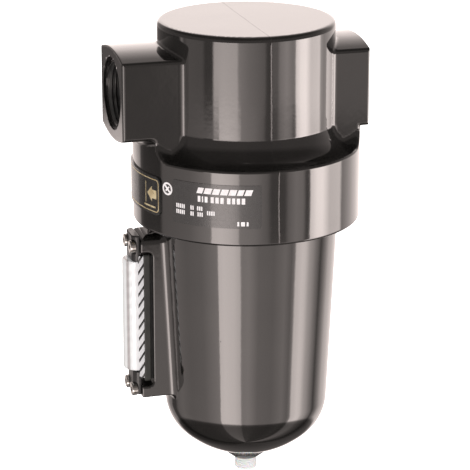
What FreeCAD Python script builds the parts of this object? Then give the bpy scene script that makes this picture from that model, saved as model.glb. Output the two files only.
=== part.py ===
import FreeCAD, Part
import math
import os
import Sketcher

# Compressed air filter: die-cast head with in-line ports, screwed-on metal bowl with a
# liquid level sight glass, clamped filter element and a float-operated drain.
# Every sub-part is drawn about the bowl axis (X = Y = 0) with the port axis at Z = 0, then moved
# along X by axis_x, so the row frame starts at the first thread of the inlet port.

SIZES = [
    # head casting
    ("axis_x", 72.2, "inlet thread start to bowl axis"),
    ("neck_r", 47.9, "radius of the neck"),
    ("neck_foot_z", -18.8, "where the shoulder cove starts"),
    ("top_z", 36.0, "flat top of the head"),
    ("top_round", 5.5, "rounding of the top edge"),
    ("cove_r", 13.0, "radius of the shoulder cove"),
    ("shoulder_r", 60.9, "outer end of the cove"),
    ("collar_r", 61.7, "radius of the collar"),
    ("collar_top_z", -31.8, "upper edge of the collar"),
    ("collar_foot_z", -72.5, "lower edge of the collar"),
    ("collar_round", 1.4, "rounding of the collar's lower edge"),
    ("inlet_reach", 74.2, "inlet face to bowl axis"),
    ("outlet_reach", 61.9, "outlet face to bowl axis"),
    ("lug_half", 24.4, "half width of the port lugs"),
    ("lug_side_z", 20.9, "half height of the lug's flat sides"),
    ("lug_arch_r", 82.0, "radius of the lug's arched top and bottom"),
    ("lug_round", 2.5, "rounding along the lug's long edges"),
    ("trim_r", 90.0, "outer radius of the cut that trims the pillars"),
    ("port_face_r", 19.4, "radius of the port's spot face"),
    ("spot_depth", 2.0, "depth of the spot face"),
    ("port_thread_r", 15.15, "bore radius of the port thread"),
    ("port_thread_len", 18.0, "length of the port thread"),
    ("passage_r", 13.5, "radius of the cast passages"),
    ("inlet_well_x", -31.0, "centre of the inlet's downward well"),
    ("inlet_well_r", 11.0, "radius of the inlet's downward well"),
    ("outlet_bore_r", 12.0, "radius of the central outlet bore"),
    ("bore_thread_r", 54.0, "bore of the collar's bowl thread"),
    ("ledge_z", -44.7, "ledge above the bowl rim"),
    ("chamber_r", 44.0, "radius of the inlet chamber"),
    ("chamber_roof_z", -22.0, "roof of the inlet chamber"),
    ("boss_r", 18.0, "radius of the outlet boss"),
    ("boss_foot_z", -36.0, "seat face of the outlet boss"),
    ("bridge_half", 4.0, "half width of the bridge across the outlet bore"),
    ("bridge_top_z", -27.0, "upper face of the bridge"),
    ("rod_hole_r", 3.02, "tie rod hole in the bridge"),
    # plates on the collar
    ("plate_in_r", 61.72, "inner radius of the plates, on their adhesive"),
    ("label_r", 61.9, "outer radius of the rating label"),
    ("label_low_z", -62.5, "lower edge of the rating label"),
    ("label_high_z", -39.2, "upper edge of the rating label"),
    ("label_arc", 46.3, "angle that the rating label covers"),
    ("label_turn", 215.0, "angle where the rating label starts"),
    ("badge_r", 62.6, "outer radius of the flow badge"),
    ("badge_low_z", -61.5, "lower edge of the flow badge"),
    ("badge_high_z", -40.5, "upper edge of the flow badge"),
    ("badge_arc", 51.0, "angle that the flow badge covers"),
    ("badge_turn", 156.0, "angle where the flow badge starts"),
    # louvre, element and tie rod
    ("hub_r", 17.5, "radius of the louvre hub"),
    ("louvre_top_z", -40.0, "upper face of the louvre disc"),
    ("louvre_low_z", -44.0, "lower face of the louvre disc"),
    ("skirt_in_r", 30.8, "inside of the louvre's inner skirt"),
    ("skirt_out_r", 32.3, "outside of the louvre's inner skirt"),
    ("rim_in_r", 41.4, "inside of the louvre's outer rim"),
    ("rim_out_r", 43.6, "outside of the louvre's outer rim"),
    ("rim_low_z", -53.0, "lower edge of the louvre's skirts"),
    ("vane_len", 9.8, "radial length of a vane"),
    ("vane_thick", 1.4, "thickness of a vane"),
    ("vane_tall", 13.0, "height of a vane along its slope"),
    ("vane_root_r", 31.9, "radius where a vane starts"),
    ("vane_mid_z", -46.6, "height of a vane's centre"),
    ("element_r", 30.0, "radius of the element"),
    ("element_bore_r", 24.0, "bore of the element"),
    ("upper_seal_top_z", -44.3, "upper face of the upper gasket"),
    ("element_top_z", -46.3, "upper face of the element"),
    ("element_low_z", -131.3, "lower face of the element"),
    ("lower_seal_low_z", -133.3, "lower face of the lower gasket"),
    ("rod_r", 3.0, "radius of the tie rod"),
    ("rod_top_z", -24.0, "top of the tie rod"),
    ("rod_low_z", -149.5, "bottom of the tie rod"),
    ("baffle_top_z", -133.6, "seat face of the baffle"),
    ("baffle_floor_z", -136.6, "lower face of the baffle disc"),
    ("baffle_rim_z", -141.0, "lower edge of the baffle's rim"),
    ("baffle_r", 38.0, "radius of the baffle"),
    ("baffle_rim_r", 36.4, "inside of the baffle's rim"),
    ("baffle_bore_r", 3.06, "threaded bore of the baffle"),
    ("knob_r", 10.0, "radius of the baffle's grip"),
    ("knob_low_z", -147.0, "lower end of the baffle's grip"),
    ("knob_groove_r", 1.2, "radius of the grip's flutes"),
    # bowl
    ("rim_z", -46.0, "upper rim of the bowl"),
    ("flange_r", 53.7, "radius of the bowl's threaded flange"),
    ("flange_low_z", -68.0, "lower end of the threaded flange"),
    ("thread_root_r", 52.8, "root radius of the flange's thread rings"),
    ("thread_low_z", -66.6, "lower edge of the lowest thread ring"),
    ("thread_mid_z", -65.5, "root of the lowest thread ring"),
    ("thread_high_z", -64.4, "upper edge of the lowest thread ring"),
    ("thread_run", 15.0, "lowest thread ring to highest thread ring"),
    ("bowl_neck_r", 50.14, "outer radius of the bowl wall under the flange"),
    ("bowl_low_r", 44.9, "outer radius of the bowl wall at the dome"),
    ("bowl_wall", 4.0, "wall of the bowl"),
    ("dome_z", -176.0, "where the dome starts"),
    ("knuckle_r", 27.0, "outer radius of the dome's knuckle"),
    ("knuckle_end_r", 36.21, "where the knuckle meets the crown"),
    ("knuckle_end_z", -195.84, "where the knuckle meets the crown"),
    ("crown_r", 53.39, "outer radius of the dome's crown"),
    ("crown_edge_z", -208.56, "where the crown meets the drain spot face"),
    ("inner_top_r", 47.2, "inner radius of the bowl at the rim"),
    ("inner_low_r", 40.9, "inner radius of the bowl at the dome"),
    ("inner_knuckle_r", 23.0, "inner radius of the dome's knuckle"),
    ("inner_knuckle_end_r", 33.5, "where the inner knuckle meets the crown"),
    ("inner_knuckle_end_z", -192.9, "where the inner knuckle meets the crown"),
    ("inner_crown_r", 49.39, "inner radius of the dome's crown"),
    ("inner_crown_edge_z", -204.26, "where the inner crown meets the drain land"),
    ("seal_groove_in_r", 47.9, "inside of the rim groove"),
    ("seal_groove_out_r", 51.1, "outside of the rim groove"),
    ("seal_groove_z", -47.9, "floor of the rim groove"),
    ("bowl_seal_r", 49.5, "mean radius of the bowl o-ring"),
    ("bowl_seal_tube", 1.3, "section radius of the bowl o-ring"),
    ("bowl_seal_z", -46.3, "centre of the bowl o-ring"),
    ("land_r", 13.0, "radius of the drain land inside the bowl"),
    ("land_z", -203.4, "upper face of the drain land"),
    ("spot_r", 12.3, "radius of the drain spot face outside"),
    ("spot_z", -208.2, "drain spot face outside"),
    ("drain_hole_r", 6.4, "drain hole in the bowl"),
    ("drain_end_z", -221.8, "lower end of the drain body"),
    # sight glass
    ("web_half", 11.0, "half width of the sight boss"),
    ("web_out_x", -62.0, "clamp face of the sight boss"),
    ("web_in_x", -42.0, "root of the sight boss inside the wall"),
    ("web_top_z", -77.5, "top of the sight boss"),
    ("web_low_z", -170.0, "bottom of the sight boss"),
    ("web_root", 1.8, "fillet between the sight boss and the bowl"),
    ("recess_x", -55.4, "floor of the sight recess"),
    ("recess_top_z", -87.0, "upper end of the sight recess"),
    ("recess_low_z", -163.5, "lower end of the sight recess"),
    ("recess_round", 3.0, "inner corner radius of the sight recess"),
    ("recess_bend_x", -58.4, "where the recess corners start"),
    ("recess_bend_top_z", -90.0, "where the upper recess corner ends"),
    ("recess_bend_low_z", -160.5, "where the lower recess corner starts"),
    ("window_half", 2.6, "half width of the level slot"),
    ("window_top_z", -94.0, "upper end of the level slot"),
    ("window_low_z", -156.0, "lower end of the level slot"),
    ("gasket_half", 7.6, "half width of the lens gasket"),
    ("gasket_x", -56.4, "outer face of the lens gasket"),
    ("gasket_top_z", -89.6, "upper end of the lens gasket"),
    ("gasket_low_z", -160.4, "lower end of the lens gasket"),
    ("holder_half", 8.6, "half width of the lens holder"),
    ("holder_x", -60.0, "outer face of the lens holder"),
    ("holder_top_z", -88.6, "upper end of the lens holder"),
    ("holder_low_z", -161.4, "lower end of the lens holder"),
    ("lens_half", 8.0, "half width of the lens"),
    ("lens_x", -68.6, "outer face of the lens"),
    ("lens_top_z", -92.6, "upper end of the lens"),
    ("lens_low_z", -155.0, "lower end of the lens"),
    ("lens_round", 7.6, "rounding of the lens's outer edges"),
    ("tongue_x", -61.9, "outer face of the lens tongues"),
    ("tongue_top_z", -89.4, "upper end of the lens tongues"),
    ("tongue_low_z", -159.6, "lower end of the lens tongues"),
    ("clamp_half", 8.6, "half width of the clamps"),
    ("clamp_x", -66.0, "outer face of the clamps"),
    ("upper_clamp_top_z", -75.2, "upper end of the upper clamp"),
    ("upper_clamp_low_z", -92.3, "lower end of the upper clamp"),
    ("lower_clamp_top_z", -155.3, "upper end of the lower clamp"),
    ("lower_clamp_low_z", -168.8, "lower end of the lower clamp"),
    ("clamp_round", 3.7, "rounding of the clamp's outer edges"),
    ("screw_y", 6.3, "clamp screws to the bowl's middle plane"),
    ("upper_screw_z", -84.0, "height of the upper clamp screws"),
    ("lower_screw_z", -165.8, "height of the lower clamp screws"),
    ("screw_r", 1.5, "radius of the clamp screw shanks"),
    ("screw_tip_x", -55.0, "tip of the clamp screws"),
    ("head_seat_x", -64.3, "seat under the clamp screw heads"),
    ("screw_head_r", 3.6, "radius of the clamp screw heads"),
    ("screw_dome_r", 4.4, "dome radius of the clamp screw heads"),
    ("socket_r", 1.2, "radius of the sockets in the clamp screw heads"),
    ("screw_hole_r", 1.52, "hole for the clamp screws"),
    ("head_hole_r", 3.8, "counterbore for the clamp screw heads"),
    # automatic drain
    ("stub_r", 6.2, "radius of the drain's threaded stub"),
    ("drain_flange_r", 11.0, "radius of the drain flange"),
    ("drain_flange_low_z", -201.8, "lower face of the drain flange"),
    ("drain_flange_top_z", -198.8, "upper face of the drain flange"),
    ("tower_r", 9.5, "outer radius of the drain tower"),
    ("tower_bore_r", 7.5, "bore of the drain tower"),
    ("tower_top_z", -170.0, "top of the drain tower"),
    ("seat_z", -200.4, "valve seat level"),
    ("seat_r", 2.4, "radius of the drain passage"),
    ("drain_thread_r", 4.3, "bore radius of the drain outlet thread"),
    ("drain_thread_top_z", -213.8, "inner end of the drain outlet thread"),
    ("window_r", 1.6, "radius of the drain tower's windows"),
    ("windows_z", -195.6, "height of the drain tower's windows"),
    ("strainer_in_r", 9.55, "inside of the strainer"),
    ("strainer_out_r", 10.6, "outside of the strainer"),
    ("strainer_top_z", -192.8, "top of the strainer"),
    ("strainer_hole_r", 0.7, "radius of the strainer's holes"),
    ("drain_seal_r", 7.4, "mean radius of the drain o-ring"),
    ("drain_seal_tube", 0.8, "section radius of the drain o-ring"),
    ("nut_top_r", 11.6, "radius of the drain nut at the bowl"),
    ("nut_low_r", 7.4, "radius of the drain nut's lower end"),
    ("nut_low_z", -214.6, "lower end of the drain nut"),
    ("nut_bore_r", 6.22, "bore of the drain nut"),
    ("nut_step_z", -211.2, "lower end of the drain nut's straight part"),
    ("nut_cut_r", 11.7, "centre radius of the drain nut's serrations"),
    ("nut_groove_r", 0.55, "radius of the drain nut's serrations"),
    ("cap_top_z", -167.4, "top of the drain cap"),
    ("cap_lip_z", -173.0, "lower end of the cap's spigot"),
    ("cap_spigot_r", 7.48, "radius of the cap's spigot"),
    ("nozzle_r", 0.9, "pilot nozzle in the cap"),
    ("float_in_r", 11.0, "bore of the float"),
    ("float_out_r", 21.0, "radius of the float"),
    ("float_low_z", -190.6, "underside of the float"),
    ("float_top_z", -172.0, "shoulder of the float"),
    ("yoke_low_z", -167.1, "underside of the float's yoke"),
    ("yoke_top_z", -164.1, "top of the float's yoke"),
    ("yoke_half", 3.0, "half width of the float's yoke"),
    ("yoke_half_len", 14.5, "half length of the float's yoke"),
    ("pin_r", 0.85, "radius of the pilot pin"),
    ("pin_low_z", -169.4, "tip of the pilot pin"),
    ("pin_top_z", -164.2, "top of the pilot pin"),
    ("piston_r", 7.0, "radius of the drain piston"),
    ("piston_low_z", -188.0, "underside of the drain piston"),
    ("piston_top_z", -184.0, "top of the drain piston"),
    ("piston_groove_r", 6.2, "seal groove of the drain piston"),
    ("piston_groove_low_z", -186.9, "lower side of the seal groove"),
    ("piston_groove_top_z", -185.1, "upper side of the seal groove"),
    ("stem_r", 2.0, "radius of the drain valve's stem"),
    ("plug_r", 3.4, "radius of the drain valve's plug"),
    ("plug_low_z", -200.1, "face of the drain valve's plug"),
    ("plug_top_z", -198.2, "back of the drain valve's plug"),
    ("piston_seal_r", 6.82, "mean radius of the piston seal"),
    ("piston_seal_tube", 0.6, "section radius of the piston seal"),
    ("piston_seal_z", -186.0, "centre of the piston seal"),
    ("spring_r", 5.2, "mean radius of the valve spring"),
    ("spring_wire_r", 0.4, "wire radius of the valve spring"),
    ("spring_turns", 4.0, "turns of the valve spring"),
    ("spring_low_z", -183.9, "lower end of the valve spring"),
    ("spring_high_z", -173.5, "upper end of the valve spring"),
]

VANES = 16
VANE_SLOPE = 38.0
STRAINER_HOLES = 18
KNOB_FLUTES = 12
NUT_SERRATIONS = 24
TOWER_WINDOWS = 6
THREAD_RINGS = 6
WIRE_SIDES = 8
TURN = 360.0
SAME = 0.01
TALL_EDGE = 50.0

doc = FreeCAD.newDocument("AirFilter")
sheet = doc.addObject("Spreadsheet::Sheet", "Dims")
for row, (alias, value, meaning) in enumerate(SIZES, start=1):
    sheet.set("A%d" % row, meaning)
    sheet.set("B%d" % row, str(value))
    sheet.setAlias("B%d" % row, alias)
doc.recompute()

sub_parts = []


def size(alias):
    return float(sheet.get(alias))


def expression(text):
    """Turn words that name cells into references to the sheet."""
    aliases = {alias for alias, value, meaning in SIZES}
    words = text.replace("(", " ( ").replace(")", " ) ").split()
    return " ".join("Dims." + word if word in aliases else word for word in words)


def bind(item, prop, text):
    item.setExpression(prop, expression(text))


def keep(item, node):
    """Name a finished sub-part and move it to its place in the row frame."""
    item.Label = node
    bind(item, "Placement.Base.x", "axis_x")
    sub_parts.append(item)


# ---- primitives and booleans ----


def cylinder(name, radius, low, high):
    solid = doc.addObject("Part::Cylinder", name)
    bind(solid, "Radius", radius)
    bind(solid, "Height", "%s - ( %s )" % (high, low))
    bind(solid, "Placement.Base.z", low)
    return solid


def box(name, x_range, y_range, z_range):
    solid = doc.addObject("Part::Box", name)
    for side, base, (low, high) in (
        ("Length", "x", x_range),
        ("Width", "y", y_range),
        ("Height", "z", z_range),
    ):
        bind(solid, side, "%s - ( %s )" % (high, low))
        bind(solid, "Placement.Base." + base, low)
    return solid


def torus(name, mean_radius, tube_radius, height):
    solid = doc.addObject("Part::Torus", name)
    bind(solid, "Radius1", mean_radius)
    bind(solid, "Radius2", tube_radius)
    bind(solid, "Placement.Base.z", height)
    return solid


def rod_along_x(name, radius, x_from, x_to, y_at, z_at):
    solid = doc.addObject("Part::Cylinder", name)
    solid.Placement.Rotation = FreeCAD.Rotation(FreeCAD.Vector(0, 1, 0), 90)
    bind(solid, "Radius", radius)
    bind(solid, "Height", "%s - ( %s )" % (x_to, x_from))
    bind(solid, "Placement.Base.x", x_from)
    bind(solid, "Placement.Base.y", y_at)
    bind(solid, "Placement.Base.z", z_at)
    return solid


def fuse(name, *solids):
    joined = doc.addObject("Part::MultiFuse", name)
    joined.Shapes = list(solids)
    joined.Refine = True
    return joined


def cut(name, base, *tools):
    result = doc.addObject("Part::Cut", name)
    result.Base = base
    result.Tool = tools[0] if len(tools) == 1 else fuse(name + "Tools", *tools)
    return result


def ring(name, inner, outer, low, high):
    return cut(name, cylinder(name + "Outer", outer, low, high), cylinder(name + "Inner", inner, low, high))


def spun(item, angle):
    """Turn an item about the bowl axis."""
    turn = FreeCAD.Placement(FreeCAD.Vector(), FreeCAD.Rotation(FreeCAD.Vector(0, 0, 1), angle))
    item.Placement = turn.multiply(item.Placement)
    return item


def rounded(name, base, radius, test):
    doc.recompute()
    result = doc.addObject("Part::Fillet", name)
    result.Base = base
    chosen = [i + 1 for i, edge in enumerate(base.Shape.Edges) if test(edge)]
    result.Edges = [(index, size(radius), size(radius)) for index in chosen]
    return result


# ---- sketches and features in bodies ----


def plane(body, role):
    return next(feature for feature in body.Origin.OriginFeatures if feature.Role == role)


def signed(alias):
    """Value and expression of a cell, or of its mirror image when a minus sign is in front."""
    if alias == 0:
        return 0.0, None
    if alias.startswith("-"):
        return -size(alias[1:]), "- " + alias[1:]
    return size(alias), alias


def arc_between(start, end, bend):
    """Arc from start to end; a positive bend turns to the left."""
    chord = end - start
    left = FreeCAD.Vector(-chord.y, chord.x, 0).normalize()
    reach = math.sqrt(bend ** 2 - (chord.Length / 2) ** 2)
    centre = (start + end) * 0.5 + left * math.copysign(reach, bend)
    first, last = (start, end) if bend > 0 else (end, start)
    circle = Part.Circle(centre, FreeCAD.Vector(0, 0, 1), abs(bend))
    angles = [math.atan2(point.y - centre.y, point.x - centre.x) for point in (first, last)]
    return Part.ArcOfCircle(circle, *angles)


def outline(body, name, role, corners):
    """Closed sketch whose corners and arcs are bound to cells.

    A corner is (across, up) or (across, up, bend): bend names the radius of the arc that ends at
    the corner, and a minus sign in front of it turns the arc clockwise.
    """
    sketch = body.newObject("Sketcher::SketchObject", name)
    sketch.AttachmentSupport = [(plane(body, role), "")]
    sketch.MapMode = "FlatFace"
    points = [FreeCAD.Vector(signed(corner[0])[0], signed(corner[1])[0], 0) for corner in corners]
    edges = []
    for index, corner in enumerate(corners):
        start, end = points[index - 1], points[index]
        if len(corner) == 3:
            bend = signed(corner[2])[0]
            edge = sketch.addGeometry(arc_between(start, end, bend))
            radius = sketch.addConstraint(Sketcher.Constraint("Radius", edge, abs(bend)))
            bind(sketch, "Constraints[%d]" % radius, corner[2].lstrip("-"))
            edges.append((edge, 1, 2) if bend > 0 else (edge, 2, 1))
        else:
            edge = sketch.addGeometry(Part.LineSegment(start, end))
            edges.append((edge, 1, 2))
    for index, corner in enumerate(corners):
        edge, _, end_at = edges[index]
        after, start_at, _ = edges[(index + 1) % len(corners)]
        sketch.addConstraint(Sketcher.Constraint("Coincident", edge, end_at, after, start_at))
        for kind, axis, alias in (("DistanceX", -2, corner[0]), ("DistanceY", -1, corner[1])):
            value, words = signed(alias)
            if words is None:
                sketch.addConstraint(Sketcher.Constraint("PointOnObject", edge, end_at, axis))
            else:
                held = sketch.addConstraint(Sketcher.Constraint(kind, -1, 1, edge, end_at, value))
                bind(sketch, "Constraints[%d]" % held, words)
    return sketch


def revolve(body, name, section, kind="PartDesign::Revolution"):
    feature = body.newObject(kind, name)
    feature.Profile = section
    feature.ReferenceAxis = (section, ["V_Axis"])
    feature.Angle = TURN
    return feature


def pad(body, name, section, length, reverse=False, both_ways=False):
    feature = body.newObject("PartDesign::Pad", name)
    feature.Profile = section
    bind(feature, "Length", length)
    feature.Reversed = reverse
    feature.Midplane = both_ways
    return feature


def bore(body, name, radius, length, at, along):
    """Cut a round hole from the point at, in the direction along."""
    tool = body.newObject("PartDesign::SubtractiveCylinder", name)
    tool.Placement.Rotation = FreeCAD.Rotation(FreeCAD.Vector(0, 0, 1), FreeCAD.Vector(*along))
    bind(tool, "Radius", radius)
    bind(tool, "Height", length)
    for base, text in zip("xyz", at):
        bind(tool, "Placement.Base." + base, text)
    return tool


def ease(body, name, radius, test):
    """Round the edges of a body that pass the test."""
    doc.recompute()
    base = body.Tip
    chosen = ["Edge%d" % (i + 1) for i, edge in enumerate(base.Shape.Edges) if test(edge)]
    feature = body.newObject("PartDesign::Fillet", name)
    feature.Base = (base, chosen)
    bind(feature, "Radius", radius)
    return feature


def around_pattern(body, name, feature, count):
    pattern = body.newObject("PartDesign::PolarPattern", name)
    pattern.Originals = [feature]
    pattern.Axis = (plane(body, "Z_Axis"), [""])
    pattern.Angle = TURN
    pattern.Occurrences = count
    body.Tip = pattern
    return pattern


def near(value, target):
    return abs(value - target) < SAME


def is_ring(edge, radius, height):
    curve = edge.Curve
    round_edge = isinstance(curve, Part.Circle)
    return round_edge and near(curve.Radius, size(radius)) and near(curve.Center.z, size(height))


# ---- head ----


def make_head():
    body = doc.addObject("PartDesign::Body", "Head")
    casting = outline(body, "CastingSection", "XZ_Plane", [
        (0, "top_z"),
        (0, "collar_foot_z"),
        ("collar_r", "collar_foot_z"),
        ("collar_r", "collar_top_z"),
        ("shoulder_r", "collar_top_z"),
        ("neck_r", "neck_foot_z", "-cove_r"),
        ("neck_r", "top_z"),
    ])
    revolve(body, "Casting", casting)
    pillars = outline(body, "PillarSection", "XZ_Plane", [
        ("-collar_r", "collar_top_z"),
        ("collar_r", "collar_top_z"),
        ("collar_r", 0),
        ("-collar_r", 0),
    ])
    pad(body, "Pillars", pillars, "2 * lug_half", both_ways=True)
    trim = outline(body, "PillarTrimSection", "XZ_Plane", [
        ("collar_r", "collar_top_z"),
        ("trim_r", "collar_top_z"),
        ("trim_r", "top_z"),
        ("collar_r", "top_z"),
    ])
    revolve(body, "PillarTrim", trim, "PartDesign::Groove")
    lug = [
        ("lug_half", "-lug_side_z", "lug_arch_r"),
        ("lug_half", "lug_side_z"),
        ("-lug_half", "lug_side_z", "lug_arch_r"),
        ("-lug_half", "-lug_side_z"),
    ]
    pad(body, "OutletLug", outline(body, "OutletLugSection", "YZ_Plane", lug), "outlet_reach")
    pad(body, "InletLug", outline(body, "InletLugSection", "YZ_Plane", lug), "inlet_reach", reverse=True)
    ease(body, "LugRounds", "lug_round", is_lug_edge)
    ease(body, "TopRound", "top_round", lambda edge: is_ring(edge, "neck_r", "top_z"))
    ease(body, "CollarRound", "collar_round", lambda edge: is_ring(edge, "collar_r", "collar_foot_z"))
    cavity = outline(body, "CavitySection", "XZ_Plane", [
        (0, "collar_foot_z"),
        ("bore_thread_r", "collar_foot_z"),
        ("bore_thread_r", "ledge_z"),
        ("chamber_r", "ledge_z"),
        ("chamber_r", "chamber_roof_z"),
        ("boss_r", "chamber_roof_z"),
        ("boss_r", "boss_foot_z"),
        (0, "boss_foot_z"),
    ])
    revolve(body, "Cavity", cavity, "PartDesign::Groove")
    axis = ("0", "0")
    for port, reach, face, inward in (
        ("Inlet", "inlet_reach", "- inlet_reach", (1, 0, 0)),
        ("Outlet", "outlet_reach", "outlet_reach", (-1, 0, 0)),
    ):
        at = (face,) + axis
        bore(body, port + "SpotFace", "port_face_r", "spot_depth", at, inward)
        bore(body, port + "Thread", "port_thread_r", "port_thread_len + spot_depth", at, inward)
    inlet_depth = "inlet_reach + inlet_well_x + 0.6 * inlet_well_r"
    bore(body, "InletPassage", "passage_r", inlet_depth, ("- inlet_reach",) + axis, (1, 0, 0))
    bore(body, "InletWell", "inlet_well_r", "- chamber_roof_z + 1", ("inlet_well_x", "0", "0"), (0, 0, -1))
    bore(body, "OutletPassage", "passage_r", "outlet_reach", ("outlet_reach",) + axis, (-1, 0, 0))
    bore(body, "OutletBore", "outlet_bore_r", "- boss_foot_z", ("0", "0", "0"), (0, 0, -1))
    bridge = outline(body, "BridgeSection", "YZ_Plane", [
        ("-bridge_half", "boss_foot_z"),
        ("bridge_half", "boss_foot_z"),
        ("bridge_half", "bridge_top_z"),
        ("-bridge_half", "bridge_top_z"),
    ])
    pad(body, "Bridge", bridge, "2 * outlet_bore_r + 1", both_ways=True)
    bore(body, "RodHole", "rod_hole_r", "bridge_top_z - boss_foot_z", ("0", "0", "bridge_top_z"), (0, 0, -1))
    return body


def is_lug_edge(edge):
    """Long edges of the port lugs."""
    middle = edge.CenterOfMass
    straight = isinstance(edge.Curve, Part.Line) and near(abs(edge.Curve.Direction.x), 1)
    return straight and near(abs(middle.y), size("lug_half")) and near(abs(middle.z), size("lug_side_z"))


# ---- plates on the collar ----


def make_plate(name, outer, low, high, arc, turn):
    """Thin curved plate that follows the collar."""
    body = doc.addObject("PartDesign::Body", name)
    section = outline(body, name + "Section", "XZ_Plane", [
        ("plate_in_r", low),
        (outer, low),
        (outer, high),
        ("plate_in_r", high),
    ])
    feature = revolve(body, name + "Curve", section)
    bind(feature, "Angle", arc)
    body.Placement.Rotation = FreeCAD.Rotation(FreeCAD.Vector(0, 0, 1), size(turn))
    return body


# ---- louvre, tie rod and element stack ----


def make_louvre():
    hub = ring("LouvreHub", "outlet_bore_r", "hub_r", "louvre_low_z", "boss_foot_z")
    disc = ring("LouvreDisc", "outlet_bore_r", "skirt_out_r", "louvre_low_z", "louvre_top_z")
    skirt = ring("LouvreSkirt", "skirt_in_r", "skirt_out_r", "rim_low_z", "louvre_top_z")
    rim = ring("LouvreRim", "rim_in_r", "rim_out_r", "rim_low_z", "louvre_top_z")
    slope = FreeCAD.Rotation(FreeCAD.Vector(1, 0, 0), VANE_SLOPE)
    vanes = []
    for index in range(VANES):
        vane = doc.addObject("Part::Box", "Vane%02d" % index)
        bind(vane, "Length", "vane_len")
        bind(vane, "Width", "vane_thick")
        bind(vane, "Height", "vane_tall")
        low_corner = FreeCAD.Vector(0, -size("vane_thick") / 2, -size("vane_tall") / 2)
        base = slope.multVec(low_corner) + FreeCAD.Vector(size("vane_root_r"), 0, size("vane_mid_z"))
        vane.Placement = FreeCAD.Placement(base, slope)
        vanes.append(spun(vane, TURN * index / VANES))
    return fuse("Louvre", hub, disc, skirt, rim, *vanes)


def make_baffle():
    body = doc.addObject("PartDesign::Body", "Baffle")
    section = outline(body, "BaffleSection", "XZ_Plane", [
        ("baffle_bore_r", "knob_low_z"),
        ("knob_r", "knob_low_z"),
        ("knob_r", "baffle_floor_z"),
        ("baffle_rim_r", "baffle_floor_z"),
        ("baffle_rim_r", "baffle_rim_z"),
        ("baffle_r", "baffle_rim_z"),
        ("baffle_r", "baffle_top_z"),
        ("baffle_bore_r", "baffle_top_z"),
    ])
    revolve(body, "BaffleDisc", section)
    knob_length = "baffle_floor_z - knob_low_z"
    flute = bore(body, "KnobFlute", "knob_groove_r", knob_length, ("knob_r", "0", "knob_low_z"), (0, 0, 1))
    around_pattern(body, "KnobFlutes", flute, KNOB_FLUTES)
    return body


# ---- bowl ----


def make_bowl():
    """Tapered bowl with a domed floor, a threaded flange and the sight boss on the inlet side."""
    body = doc.addObject("PartDesign::Body", "Bowl")
    outside = outline(body, "BowlSection", "XZ_Plane", [
        (0, "rim_z"),
        (0, "spot_z"),
        ("spot_r", "spot_z"),
        ("spot_r", "crown_edge_z"),
        ("knuckle_end_r", "knuckle_end_z", "crown_r"),
        ("bowl_low_r", "dome_z", "knuckle_r"),
        ("bowl_neck_r", "flange_low_z"),
        ("flange_r", "flange_low_z"),
        ("flange_r", "rim_z"),
    ])
    revolve(body, "BowlOutside", outside)
    web = outline(body, "SightWebSection", "XZ_Plane", [
        ("web_in_x", "web_low_z"),
        ("web_in_x", "web_top_z"),
        ("web_out_x", "web_top_z"),
        ("web_out_x", "recess_top_z"),
        ("recess_bend_x", "recess_top_z"),
        ("recess_x", "recess_bend_top_z", "-recess_round"),
        ("recess_x", "recess_bend_low_z"),
        ("recess_bend_x", "recess_low_z", "-recess_round"),
        ("web_out_x", "recess_low_z"),
        ("web_out_x", "web_low_z"),
    ])
    pad(body, "SightWeb", web, "2 * web_half", both_ways=True)
    ease(body, "SightWebRoot", "web_root", is_web_root)
    inside = outline(body, "BowlCavitySection", "XZ_Plane", [
        (0, "rim_z"),
        (0, "land_z"),
        ("land_r", "land_z"),
        ("land_r", "inner_crown_edge_z"),
        ("inner_knuckle_end_r", "inner_knuckle_end_z", "inner_crown_r"),
        ("inner_low_r", "dome_z", "inner_knuckle_r"),
        ("inner_top_r", "rim_z"),
    ])
    revolve(body, "BowlCavity", inside, "PartDesign::Groove")
    seal_groove = outline(body, "SealGrooveSection", "XZ_Plane", [
        ("seal_groove_in_r", "seal_groove_z"),
        ("seal_groove_out_r", "seal_groove_z"),
        ("seal_groove_out_r", "rim_z"),
        ("seal_groove_in_r", "rim_z"),
    ])
    revolve(body, "SealGroove", seal_groove, "PartDesign::Groove")
    thread = outline(body, "FlangeThreadSection", "XZ_Plane", [
        ("thread_root_r", "thread_mid_z"),
        ("flange_r", "thread_low_z"),
        ("flange_r", "thread_high_z"),
    ])
    thread = revolve(body, "FlangeThread", thread, "PartDesign::Groove")
    rings = body.newObject("PartDesign::LinearPattern", "FlangeThreadRings")
    rings.Originals = [thread]
    rings.Direction = (plane(body, "Z_Axis"), [""])
    bind(rings, "Length", "thread_run")
    rings.Occurrences = THREAD_RINGS
    body.Tip = rings
    bore(body, "DrainHole", "drain_hole_r", "land_z - spot_z", ("0", "0", "spot_z"), (0, 0, 1))
    slot = body.newObject("PartDesign::SubtractiveBox", "LevelSlot")
    bind(slot, "Length", "web_in_x - recess_x + bowl_wall")
    bind(slot, "Width", "2 * window_half")
    bind(slot, "Height", "window_top_z - window_low_z")
    bind(slot, "Placement.Base.x", "recess_x")
    bind(slot, "Placement.Base.y", "- window_half")
    bind(slot, "Placement.Base.z", "window_low_z")
    depth = "screw_tip_x - web_out_x"
    for end, height in (("Upper", "upper_screw_z"), ("Lower", "lower_screw_z")):
        for side, offset in (("Front", "- screw_y"), ("Back", "screw_y")):
            mouth = ("web_out_x", offset, height)
            bore(body, "ClampHole" + end + side, "screw_hole_r", depth, mouth, (1, 0, 0))
    return body


def is_web_root(edge):
    """Upright edges where the sight boss meets the bowl's wall."""
    middle = edge.CenterOfMass
    on_side = near(abs(middle.y), size("web_half"))
    return on_side and edge.Length > TALL_EDGE and middle.x > size("recess_x") + 1


# ---- sight glass ----


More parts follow.
